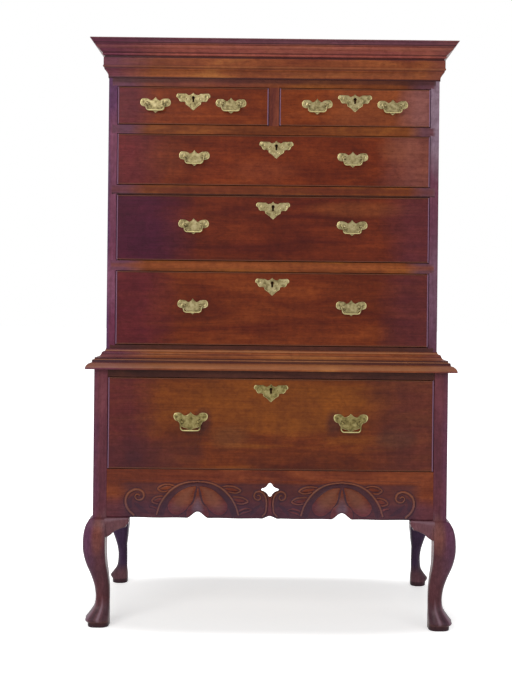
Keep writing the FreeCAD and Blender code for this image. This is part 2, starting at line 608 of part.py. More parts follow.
low_blade = f"({FOURTH_LOW} + fourth_opening)"
middle_blade = f"({THIRD_LOW} + third_opening)"
high_blade = f"({SECOND_LOW} + second_opening)"
rails = [
    rail("rail_bottom", "base_top", "bottom_rail_height", "rail_thick"),
    rail("blade_above_fourth", low_blade, "blade_low", "rail_depth",
         [bolt_mortise("mortise_fourth", "0", UPPER_FACE, low_blade)]),
    rail("blade_above_third", middle_blade, "blade_middle", "rail_depth",
         [bolt_mortise("mortise_third", "0", UPPER_FACE, middle_blade)]),
    rail("blade_above_second", high_blade, "blade_high", "rail_depth",
         [bolt_mortise("mortise_second", "second_lock_shift", UPPER_FACE, high_blade)]),
    rail("rail_top", TOP_RAIL_LOW, "top_rail_height", "rail_thick",
         [bolt_mortise("mortise_top_right", TOP_DRAWER_MIDDLE, UPPER_FACE, TOP_RAIL_LOW),
          bolt_mortise("mortise_top_left", f"-{TOP_DRAWER_MIDDLE}", UPPER_FACE, TOP_RAIL_LOW)]),
]
drawer_blades = group("drawer_blades", *rails)

chest_depth = f"({BASE_BACK} - {UPPER_FACE})"
side_blank = board("upper_side_blank", UPPER_INNER, UPPER_FACE, "base_top", "side_thick",
                   chest_depth, f"{TOP_BOARD_LOW} - base_top")
back_board_high = f"(({TOP_BOARD_LOW} - base_top) / back_board_count)"
back_boards = [
    board(f"back_board_{k}", f"-{UPPER_INNER} - rabbet", UPPER_BACK_FACE,
          f"base_top + {k} * {back_board_high}", f"2 * ({UPPER_INNER} + rabbet)",
          "back_board_thick", back_board_high)
    for k in range(int(number_of("back_board_count")))]
upper_back_boards = group("upper_back_boards", *back_boards)
upper_side_right = cut("upper_side_right", side_blank, drawer_blades, upper_back_boards)
upper_side_left = mirrored("upper_side_left", upper_side_right)
upper_top_board = board("upper_top_board", f"-{UPPER_HALF}", UPPER_FACE, TOP_BOARD_LOW,
                        f"2 * {UPPER_HALF}", chest_depth, "top_board_thick")
upper_bottom_board = board("upper_bottom_board", f"-{UPPER_INNER}", f"{UPPER_FACE} + rail_thick",
                           "base_top", f"2 * {UPPER_INNER}",
                           f"{UPPER_BACK_FACE} - {UPPER_FACE} - rail_thick",
                           "bottom_board_thick")
top_drawer_divider = board("top_drawer_divider", "-divider_width / 2", UPPER_FACE, TOP_LOW,
                           "divider_width", "rail_depth", "top_opening")

upper_strips = []
for level, low, front_rail in (("fourth", FOURTH_LOW, "rail_thick"),
                               ("third", THIRD_LOW, "rail_depth"),
                               ("second", SECOND_LOW, "rail_depth"),
                               ("top", TOP_LOW, "rail_depth")):
    strip = board(f"runner_{level}", f"{UPPER_INNER} - runner_width",
                  f"{UPPER_FACE} + {front_rail}", f"{low} - runner_height", "runner_width",
                  f"{UPPER_BACK_FACE} - {UPPER_FACE} - {front_rail}", "runner_height")
    upper_strips += [strip, mirrored(f"runner_{level}_left", strip)]
behind_blade = f"({UPPER_BACK_FACE} - {UPPER_FACE} - rail_depth)"
centre_runner = board("centre_runner", "-centre_runner_width / 2", f"{UPPER_FACE} + rail_depth",
                      f"{TOP_LOW} - runner_height", "centre_runner_width", behind_blade,
                      "runner_height")
centre_guide = board("centre_guide", "-divider_width / 2", f"{UPPER_FACE} + rail_depth", TOP_LOW,
                     "divider_width", behind_blade, "guide_height")
upper_runners = group("upper_runners", *upper_strips, centre_runner, centre_guide)


# ---------------------------------------------------------------------------------------------
# Brasses: masters stand with the drawer's face at y = 0 and are copied to each drawer
# ---------------------------------------------------------------------------------------------
def batwing(half):
    """The right half of a handle plate: a cusp at the top and bottom and scrolled wings, as
    shares of its half width; 0 is the line of the posts."""
    return [
        ("0", f"-0.56 * {half}", f"-0.02 * {half}"), (f"0.16 * {half}", f"-0.42 * {half}", None),
        (f"0.44 * {half}", f"-0.34 * {half}", f"0.03 * {half}"),
        (f"0.66 * {half}", f"-0.10 * {half}", f"-0.03 * {half}"),
        (f"0.80 * {half}", f"0.02 * {half}", f"0.04 * {half}"),
        (half, f"0.26 * {half}", f"0.06 * {half}"),
        (f"0.86 * {half}", f"0.50 * {half}", f"0.02 * {half}"),
        (f"0.56 * {half}", f"0.49 * {half}", f"-0.05 * {half}"),
        (f"0.30 * {half}", f"0.34 * {half}", f"-0.04 * {half}"),
        ("0", f"0.56 * {half}", None),
    ]


def low_wings(half):
    """The right half of the chest drawers' handle plates: lower wings and a deeper foot."""
    return [
        ("0", f"-0.60 * {half}", None), (f"0.20 * {half}", f"-0.45 * {half}", f"0.02 * {half}"),
        (f"0.44 * {half}", f"-0.37 * {half}", f"-0.02 * {half}"),
        (f"0.62 * {half}", f"-0.20 * {half}", f"0.02 * {half}"),
        (f"0.90 * {half}", f"-0.13 * {half}", f"0.03 * {half}"),
        (half, f"0.07 * {half}", f"0.04 * {half}"),
        (f"0.86 * {half}", f"0.33 * {half}", f"0.02 * {half}"),
        (f"0.50 * {half}", f"0.32 * {half}", f"-0.03 * {half}"),
        (f"0.28 * {half}", f"0.20 * {half}", f"-0.03 * {half}"),
        ("0", f"0.44 * {half}", None),
    ]


def handle_plate(name, right_half):
    """A thin brass back plate with two holes for the posts."""
    body = doc.addObject("PartDesign::Body", name)
    sketch = body_sketch(body, name + "_outline", "XZ_Plane")
    draw_loop(sketch, mirrored_half(right_half))
    for side in ("post_spacing / 2", "-post_spacing / 2"):
        draw_circle(sketch, side, "0", "shank_radius + hole_clear")
    sheet_metal = body.newObject("PartDesign::Pad", name + "_pad")
    sheet_metal.Profile = sketch
    bind(sheet_metal, Length="plate_thick")
    return body


chest_plate = handle_plate("chest_plate", low_wings("plate_half_width"))
stand_plate = handle_plate("stand_plate", batwing("base_plate_half_width"))

# The escutcheon: 0 is the middle of the keyhole.
wing = "shield_half_width"
shield_body = doc.addObject("PartDesign::Body", "shield")
shield_outline = body_sketch(shield_body, "shield_outline", "XZ_Plane")
draw_loop(shield_outline, mirrored_half([
    ("0", f"-0.68 * {wing}", None), (f"0.12 * {wing}", f"-0.58 * {wing}", f"-0.02 * {wing}"),
    (f"0.40 * {wing}", f"-0.36 * {wing}", f"0.03 * {wing}"),
    (f"0.46 * {wing}", f"-0.20 * {wing}", f"-0.02 * {wing}"),
    (f"0.72 * {wing}", f"-0.17 * {wing}", f"0.03 * {wing}"),
    (f"0.86 * {wing}", f"-0.02 * {wing}", f"-0.02 * {wing}"),
    (wing, f"0.10 * {wing}", f"0.05 * {wing}"), (f"0.90 * {wing}", f"0.33 * {wing}", None),
    (f"0.44 * {wing}", f"0.32 * {wing}", f"-0.04 * {wing}"),
    (f"0.24 * {wing}", f"0.24 * {wing}", f"-0.03 * {wing}"), ("0", f"0.39 * {wing}", None),
]))
shield_pad = shield_body.newObject("PartDesign::Pad", "shield_pad")
shield_pad.Profile = shield_outline
bind(shield_pad, Length="plate_thick")
wood_before_lock = "(front_thick - lock_thick)"
key_depth = f"({wood_before_lock} + plate_thick + lock_thick / 2 + 1)"
key_round = rod("key_round", "keyhole_radius", key_depth, y="-plate_thick - 1",
                z="keyhole_height / 2 - keyhole_radius", axis="y")
key_slot = board("key_slot", "-keyhole_slot / 2", "-plate_thick - 1", "-keyhole_height / 2",
                 "keyhole_slot", key_depth, "keyhole_height - keyhole_radius")
keyhole = fuse("keyhole", key_round, key_slot)
shield = cut("escutcheon", shield_body, keyhole)

pivot_out = "(plate_thick + pivot_standoff)"
post_shank = rod("post_shank", "shank_radius",
                 "plate_thick + front_thick + nut_thick + shank_past_nut", y="-plate_thick",
                 axis="y")
post_collar = rod("post_collar", "collar_radius", "collar_thick",
                  y="-plate_thick - collar_thick", axis="y")
post_neck = rod("post_neck", "neck_radius", "pivot_standoff", y=f"-{pivot_out}", axis="y")
post_eye = rod("post_eye", "eye_radius", "eye_thick", x="-eye_thick / 2", y=f"-{pivot_out}",
               axis="x")
eye_hole = rod("eye_hole", "pin_radius + hole_clear", "eye_thick + 2", x="-eye_thick / 2 - 1",
               y=f"-{pivot_out}", axis="x")
handle_post = cut("handle_post", fuse("post_blank", post_shank, post_collar, post_neck, post_eye),
                  eye_hole)
shank_hole = group("shank_hole", rod("shank_drill", "shank_radius + hole_clear",
                                     "front_thick + 2", y="-1", axis="y"))
nut_blank = board("nut_blank", "-nut_size / 2", "front_thick", "-nut_size / 2", "nut_size",
                  "nut_thick", "nut_size")
nut_hole = rod("nut_hole", "shank_radius + hole_clear", "nut_thick + 2", y="front_thick - 1",
               axis="y")
handle_nut = cut("handle_nut", nut_blank, nut_hole)

# A bail: two pins on the X axis, two arms and a bottom bar, joined by quarter bends.
arm_at = "(post_spacing / 2 + eye_thick / 2 + eye_gap + wire_radius)"
bend_at = f"({arm_at} - bail_bend)"
pin_from = "(post_spacing / 2 - eye_thick / 2)"


def hanging_bail(name, drop):
    """One swinging handle whose bar hangs the given drop below its pins."""
    pin = rod(name + "_pin", "pin_radius", f"{arm_at} - {pin_from}", x=pin_from, axis="x")
    knuckle = doc.addObject("Part::Sphere", name + "_knuckle")
    bind(knuckle, Radius="wire_radius")
    place(knuckle, arm_at)
    arm = rod(name + "_arm", "wire_radius", f"{drop} - bail_bend", x=arm_at,
              z=f"bail_bend - {drop}")
    corner = doc.addObject("Part::Torus", name + "_corner")
    bind(corner, Radius1="bail_bend", Radius2="wire_radius")
    corner.Angle3 = 90
    corner.Placement = FreeCAD.Placement(Vector(), FreeCAD.Rotation(Vector(1, 0, 0), -90))
    place(corner, bend_at, "0", f"bail_bend - {drop}")
    right = [pin, knuckle, arm, corner]
    bar = rod(name + "_bar", "wire_radius", f"2 * {bend_at}", x=f"-{bend_at}", z=f"-{drop}",
              axis="x")
    return fuse(name, *right, bar, *(mirrored(piece.Name + "_left", piece) for piece in right))


chest_bail = hanging_bail("chest_bail", "bail_drop")
stand_bail = hanging_bail("stand_bail", "base_bail_drop")


# ---------------------------------------------------------------------------------------------
# Drawers
# ---------------------------------------------------------------------------------------------
def tail_row(name, count, x, y, low, tall, depth, wide_first):
    """Dovetails cut on one end of a drawer side: they widen towards the end of the board."""
    tails = []
    cell = f"(({tall}) / {count})"
    narrow = ("tail_flare", f"{cell} - pin_width - tail_flare")
    wide = ("0", f"{cell} - pin_width")
    first, last = (wide, narrow) if wide_first else (narrow, wide)
    for k in range(count):
        tail = doc.addObject("Part::Wedge", f"{name}_{k}")
        bind(tail, Xmin="0", Xmax="drawer_side_thick", X2min="0", X2max="drawer_side_thick",
             Ymin="0", Ymax=depth, Zmin=first[0], Zmax=first[1], Z2min=last[0], Z2max=last[1])
        tails.append(place(tail, x, y, f"{low} + {k} * {cell} + pin_width / 2"))
    return tails


nose_start = "(bead_depth + bead_proud - bead_round)"
bead_section = loose_sketch("bead_section", [
    ("0", "0", None), ("bead_thick", "0", None), ("bead_thick", nose_start, "bead_round"),
    ("0", nose_start, None),
])


def drawer(name, centre, half, low, opening, face, length, spread, plate, swing, rise,
           shift="0"):
    """One drawer with its handles and lock. Returns its nodes by name: centre and half place its
    opening across, low and opening place it in height, face is the plane of the front."""
    wide = f"({half} - drawer_gap)"
    left = f"({centre} - {wide})"
    bottom = f"({low} + drawer_gap)"
    tall = f"({opening} - 2 * drawer_gap)"
    front_back = f"({face} + front_thick)"
    rear = f"({face} + {length} - drawer_back_thick)"
    side_low = f"({low} + run_clear)"
    side_tall_here = f"({opening} - drawer_gap - side_drop - run_clear)"
    floor_low = f"({side_low} + bottom_raise)"
    floor_top = f"({floor_low} + drawer_bottom_thick)"
    back_tall = f"({side_low} + {side_tall_here} - {floor_top})"
    lock_x = f"({centre} + {shift})"
    handle_z = f"({bottom} + {tall} / 2 + {rise})"
    front_top = lock_spot(low, opening)

    core = board(name + "_core", left, f"{face} + bead_depth", bottom, f"2 * {wide}",
                 "front_thick - bead_depth", tall)
    panel = board(name + "_panel", f"{left} + bead_thick", face, f"{bottom} + bead_thick",
                  f"2 * {wide} - 2 * bead_thick", "bead_depth", f"{tall} - 2 * bead_thick")
    beads = [
        run_of(f"{name}_bead_{where}", bead_section, f"2 * {wide}", left,
               f"{face} + bead_depth", z, ALONG_X)
        for where, z in (("bottom", bottom), ("top", f"{bottom} + {tall} - bead_thick"))]
    beads += [
        run_of(f"{name}_bead_{where}", bead_section, f"{tall} - 2 * bead_thick", x,
               f"{face} + bead_depth", f"{bottom} + {tall} - bead_thick", DOWNWARDS)
        for where, x in (("left", left), ("right", f"{left} + 2 * {wide} - bead_thick"))]

    front_count = max(2, int(number_of(f"{side_tall_here} / tail_pitch")))
    rear_count = max(1, int(number_of(f"{back_tall} / tail_pitch")))
    floor = board(name + "_floor", f"{left} + drawer_side_thick - groove",
                  f"{front_back} - groove", floor_low,
                  f"2 * {wide} - 2 * drawer_side_thick + 2 * groove",
                  f"{rear} + drawer_back_thick - {front_back} + groove", "drawer_bottom_thick")
    sides = []
    blanks = []
    for hand, x in (("left", left), ("right", f"({left} + 2 * {wide} - drawer_side_thick)")):
        plank = board(f"{name}_plank_{hand}", x, front_back, side_low, "drawer_side_thick",
                      f"{rear} - {front_back}", side_tall_here)
        heel = board(f"{name}_heel_{hand}", x, rear, side_low, "drawer_side_thick",
                     "drawer_back_thick", f"{floor_top} - {side_low}")
        front_tails = tail_row(f"{name}_front_tail_{hand}", front_count, x,
                               f"{face} + bead_depth", side_low, side_tall_here,
                               "front_thick - bead_depth", True)
        rear_tails = tail_row(f"{name}_rear_tail_{hand}", rear_count, x, rear, floor_top,
                              back_tall, "drawer_back_thick", False)
        blank = fuse(f"{name}_side_blank_{hand}", plank, heel, *front_tails, *rear_tails)
        blanks.append(blank)
        sides.append(cut(f"{name}_side_{hand}", blank, floor))
    back_blank = board(name + "_back_blank", left, rear, floor_top, f"2 * {wide}",
                       "drawer_back_thick", back_tall)
    back = cut(name + "_back", back_blank, *blanks)

    keyhole_here = copy_at(name + "_keyhole", keyhole, lock_x, face,
                           f"{front_top} - keyhole_drop")
    case_blank = board(name + "_lock_blank", f"{lock_x} - lock_width / 2",
                       f"{face} + front_thick - lock_thick", f"{front_top} - lock_height",
                       "lock_width", "lock_thick", "lock_height")
    bolt_y = f"({face} + front_thick - lock_thick / 2 - bolt_thick / 2)"
    bolt_slot = board(name + "_bolt_slot", f"{lock_x} - bolt_width / 2 - bolt_clear",
                      f"{bolt_y} - bolt_clear", f"{front_top} - bolt_height - bolt_clear",
                      "bolt_width + 2 * bolt_clear", "bolt_thick + 2 * bolt_clear",
                      "bolt_height + bolt_clear + 1")
    lock_case = cut(name + "_lock_case", case_blank, bolt_slot, keyhole_here)
    bolt = board(name + "_lock_bolt", f"{lock_x} - bolt_width / 2", bolt_y,
                 f"{front_top} - bolt_height", "bolt_width", "bolt_thick", "bolt_height")

    brasses = [copy_at(name + "_escutcheon", shield, lock_x, face,
                       f"{front_top} - keyhole_drop"), lock_case]
    holes = []
    bails = {}
    for hand, spot in (("left", f"({centre} - {spread})"), ("right", f"({centre} + {spread})")):
        brasses.append(copy_at(f"{name}_plate_{hand}", plate, spot, face, handle_z))
        for post, side in (("a", "-"), ("b", "+")):
            x = f"{spot} {side} post_spacing / 2"
            tag = f"{name}_{hand}_{post}"
            brasses.append(copy_at(tag + "_post", handle_post, x, face, handle_z))
            brasses.append(copy_at(tag + "_nut", handle_nut, x, face, handle_z))
            holes.append(copy_at(tag + "_hole", shank_hole, x, face, handle_z))
        hung = copy_at(f"{name}_{hand}_bail_copy", swing, spot, f"{face} - {pivot_out}",
                       handle_z)
        bails[f"{name}_bail_{hand}"] = group(f"{name}_bail_{hand}", hung)

    whole_front = cut(name + "_front_board", fuse(name + "_front_blank", core, panel), *blanks,
                      floor, case_blank, keyhole_here, *holes)
    return {
        name + "_front": group(name + "_front", whole_front, *beads),
        name + "_box": group(name + "_box", *sides, back, floor),
        name + "_brasses": group(name + "_brasses", *brasses),
        name + "_bolt": bolt, **bails,
    }


chest_drawer = (UPPER_FACE, CHEST_DRAWER_LENGTH)
wide_drawer = (*chest_drawer, HANDLE_SPREAD, chest_plate, chest_bail, "handle_rise")
top_drawer = (TOP_DRAWER_HALF, TOP_LOW, "top_opening", *chest_drawer, TOP_HANDLE_SPREAD,
              chest_plate, chest_bail, "low_handle_rise")
drawers = {
    **drawer("drawer_top_left", f"(-{TOP_DRAWER_MIDDLE})", *top_drawer),
    **drawer("drawer_top_right", TOP_DRAWER_MIDDLE, *top_drawer),
    **drawer("drawer_second", "0", UPPER_INNER, SECOND_LOW, "second_opening", *wide_drawer,
             "second_lock_shift"),
    **drawer("drawer_third", "0", UPPER_INNER, THIRD_LOW, "third_opening", *wide_drawer),
    **drawer("drawer_fourth", "0", UPPER_INNER, FOURTH_LOW, "fourth_opening", *wide_drawer),
    **drawer("drawer_base", "0", POST_INNER, APRON_TOP, BASE_OPENING, BASE_FACE,
             STAND_DRAWER_LENGTH, HANDLE_SPREAD, stand_plate, stand_bail,
             "low_handle_rise"),
}

# ---------------------------------------------------------------------------------------------
# Sub-parts: each is labelled with its node's name, tested and written to its own file
# ---------------------------------------------------------------------------------------------
sub_parts = {
    "leg_front_left": leg_front_left, "leg_front_right": leg_front_right,
    "leg_rear_left": leg_rear_left, "leg_rear_right": leg_rear_right,
    "base_side_left": base_side_left, "base_side_right": base_side_right,
    "base_back": base_back, "base_top_rail": base_top_rail, "apron": apron,
    "knee_brackets": knee_brackets, "waist_moulding_front": waist_front,
    "waist_moulding_returns": waist_returns, "base_runners": base_runners,
    "upper_side_left": upper_side_left, "upper_side_right": upper_side_right,
    "upper_top_board": upper_top_board, "upper_bottom_board": upper_bottom_board,
    "upper_back_boards": upper_back_boards, "drawer_blades": drawer_blades,
    "top_drawer_divider": top_drawer_divider, "upper_runners": upper_runners,
    "cornice_front": cornice_front, "cornice_returns": cornice_returns,
    "glue_blocks": glue_blocks, **drawers,
}
for node, piece in sub_parts.items():
    piece.Label = node
doc.recompute()

failed = [thing.Name for thing in doc.Objects if {"Invalid", "Error"} & set(thing.State)]
if failed:
    raise RuntimeError(f"objects that did not build: {failed}")
for node, piece in sub_parts.items():
    if piece.Shape.isNull() or not piece.Shape.isValid() or not piece.Shape.Solids:
        raise RuntimeError(f"{node} is not a valid solid")

os.makedirs("parts", exist_ok=True)
for node, piece in sub_parts.items():
    piece.Shape.exportStep(f"parts/{node}.step")
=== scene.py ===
import json
import math

import bmesh
import bpy
import numpy as np
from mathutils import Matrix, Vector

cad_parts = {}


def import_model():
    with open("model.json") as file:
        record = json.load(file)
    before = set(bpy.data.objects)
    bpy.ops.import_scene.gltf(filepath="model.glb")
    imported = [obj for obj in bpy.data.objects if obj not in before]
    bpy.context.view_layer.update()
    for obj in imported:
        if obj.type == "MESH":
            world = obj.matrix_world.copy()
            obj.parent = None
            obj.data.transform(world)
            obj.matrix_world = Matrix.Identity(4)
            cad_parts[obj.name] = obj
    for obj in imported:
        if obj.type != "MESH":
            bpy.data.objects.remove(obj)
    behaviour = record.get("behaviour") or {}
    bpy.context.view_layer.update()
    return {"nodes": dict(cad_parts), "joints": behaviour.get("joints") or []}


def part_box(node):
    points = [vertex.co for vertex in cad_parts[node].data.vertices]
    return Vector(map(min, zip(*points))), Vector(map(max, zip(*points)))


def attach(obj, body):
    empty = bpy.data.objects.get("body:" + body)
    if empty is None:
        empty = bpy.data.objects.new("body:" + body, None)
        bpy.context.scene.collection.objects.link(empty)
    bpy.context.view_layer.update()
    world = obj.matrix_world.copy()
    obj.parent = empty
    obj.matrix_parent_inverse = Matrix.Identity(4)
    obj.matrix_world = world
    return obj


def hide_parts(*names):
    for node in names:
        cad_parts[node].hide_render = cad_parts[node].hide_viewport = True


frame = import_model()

# A flat-topped chest of drawers on a one-drawer stand with cabriole legs and a carved apron.
# Metres, in the same frame as the solids: +Z up, the drawers face -Y, the floor is at z = 0.

MM = 0.001

# Where the joinery stands, in millimetres, as in the solids.
BASE_HALF = 515.0
BASE_FACE = -250.0
BASE_BACK = 250.0
POST = 40.0
BASE_BOTTOM = 318.0
BASE_TOP = 750.0
UPPER_HALF = 486.0
UPPER_FACE = -217.0
CORNICE_LOW = 1604.0


# ---------------------------------------------------------------------------------------------
# Finishes
# ---------------------------------------------------------------------------------------------
def node(tree, kind, x, y, **sockets):
    """Adds a shader node and sets its named inputs; a (node, output) pair links instead."""
    made = tree.nodes.new(kind)
    made.location = (x, y)
    for name, value in sockets.items():
        socket = made.inputs[int(name[1:])] if name[0] == "_" else made.inputs[name]
        if isinstance(value, tuple) and hasattr(value[0], "outputs"):
            tree.links.new(value[0].outputs[value[1]], socket)
        else:
            socket.default_value = value
    return made


def math_node(tree, x, y, what, *values, kind="ShaderNodeMath"):
    """A math node that does one operation on its values, in their order."""
    made = node(tree, kind, x, y, **{"_" + str(row): value for row, value in enumerate(values)})
    made.operation = what
    return made


def blank_material(name):
    """A material with a Principled shader; returns the material, its tree and the shader."""
    made = bpy.data.materials.new(name)
    made.use_nodes = True
    tree = made.node_tree
    return made, tree, tree.nodes["Principled BSDF"]


def ramp(tree, x, y, factor, stops):
    """A colour ramp over (position, colour) stops."""
    made = node(tree, "ShaderNodeValToRGB", x, y, Fac=factor)
    band = made.color_ramp
    while len(band.elements) < len(stops):
        band.elements.new(0.5)
    for element, (where, colour) in zip(band.elements, stops):
        element.position = where
        element.color = (*colour, 1.0)
    return made


def spread(tree, x, y, value, low, high, to_low=0.0, to_high=1.0):
    """Stretches a value from low..high onto to_low..to_high and clips it there."""
    made = node(tree, "ShaderNodeMapRange", x, y, Value=value)
    made.inputs["From Min"].default_value = low
    made.inputs["From Max"].default_value = high
    made.inputs["To Min"].default_value = to_low
    made.inputs["To Max"].default_value = to_high
    return made


def mix(tree, x, y, factor, first, second, blend="MIX"):
    """Mixes two colours; each is a colour or a (node, output) pair."""
    made = tree.nodes.new("ShaderNodeMix")
    made.location = (x, y)
    made.data_type = "RGBA"
    made.blend_type = blend
    made.clamp_factor = True
    for index, value in ((0, factor), (6, first), (7, second)):
        if isinstance(value, tuple) and hasattr(value[0], "outputs"):
            tree.links.new(value[0].outputs[value[1]], made.inputs[index])
        elif index:
            made.inputs[index].default_value = (*value, 1.0)
        else:
            made.inputs[index].default_value = value
    return made


def tint(red, green, blue):
    """A colour written as it looks, 0 to 255, turned into the shader's own linear values."""
    shares = np.array([red, green, blue]) / 255.0
    return tuple(float(v) for v in np.where(shares < 0.04045, shares / 12.92,
                                            ((shares + 0.055) / 1.055) ** 2.4))


def noise(tree, x, y, place, scale, detail=4.0, roughness=0.55, distortion=0.0, stretch=None):
    """A noise over the piece's own coordinates; stretch scales each axis first."""
    if stretch is not None:
        place = (node(tree, "ShaderNodeMapping", x - 200, y, Vector=place, Scale=stretch), 0)
    return node(tree, "ShaderNodeTexNoise", x, y, Vector=place, Scale=scale, Detail=detail,
                Roughness=roughness, Distortion=distortion)


# A stain or a spot of painted light fades out between these shares of its reach, and a strip over
# this many metres.
PATCH_EDGE = (0.75, 1.70)
STRIP_EDGE = 0.0004


def patch(tree, x, y, place, middle, reach, share, uneven):
    """A soft spot: share where |(p - middle) / reach| is under the first value of PATCH_EDGE,
    fading out to the second, with an edge that a noise makes uneven."""
    aim = node(tree, "ShaderNodeMapping", x, y, Vector=place,
               Location=tuple(-m / r for m, r in zip(middle, reach)),
               Scale=tuple(1.0 / r for r in reach))
    away = math_node(tree, x + 180, y, "LENGTH", (aim, 0), kind="ShaderNodeVectorMath")
    moved = math_node(tree, x + 360, y, "ADD", (away, "Value"), uneven)
    return spread(tree, x + 540, y, (moved, 0), *PATCH_EDGE, share, 0.0)


def strips(tree, x, y, axis, middle, half, wide):
    """1 in the two strips at the ends of a panel: |axis - middle| > half - wide."""
    away = math_node(tree, x, y, "SUBTRACT", axis, middle)
    size = math_node(tree, x + 160, y, "ABSOLUTE", (away, 0))
    return spread(tree, x + 320, y, (size, 0), half - wide, half - wide + STRIP_EDGE)


def worn(tree, colour, steps):
    """Colours hollows and high places by the attribute relief, as dirt, rubbing and tarnish
    together with painted highlights and shade: each step (low, high, share at low, share at high,
    colour) lays its colour over those before it."""
    relief = node(tree, "ShaderNodeAttribute", 0, 900)
    relief.attribute_name = "relief"
    for row, (low, high, at_low, at_high, over) in enumerate(steps):
        mask = spread(tree, 200, 960 + 160 * row, (relief, "Fac"), low, high, at_low, at_high)
        colour = (mix(tree, 560 + 120 * row, 300, (mask, 0), colour, over), 2)
    return colour


def fine_relief(tree, shader, x, y, height, strength, distance):
    """Raises a finish by a texture, distance metres high at full strength."""
    bump = node(tree, "ShaderNodeBump", x, y, Height=height, Strength=strength,
                Distance=distance)
    tree.links.new(bump.outputs["Normal"], shader.inputs["Normal"])


# The width of a drawer front's beads in metres, which get a painted reflection and highlight,
# and the colours of pores in pale and dark wood.
BEAD_WIDE = 0.0034
PALE_PORE = tint(92, 66, 42)
DARK_PORE = tint(36, 10, 12)


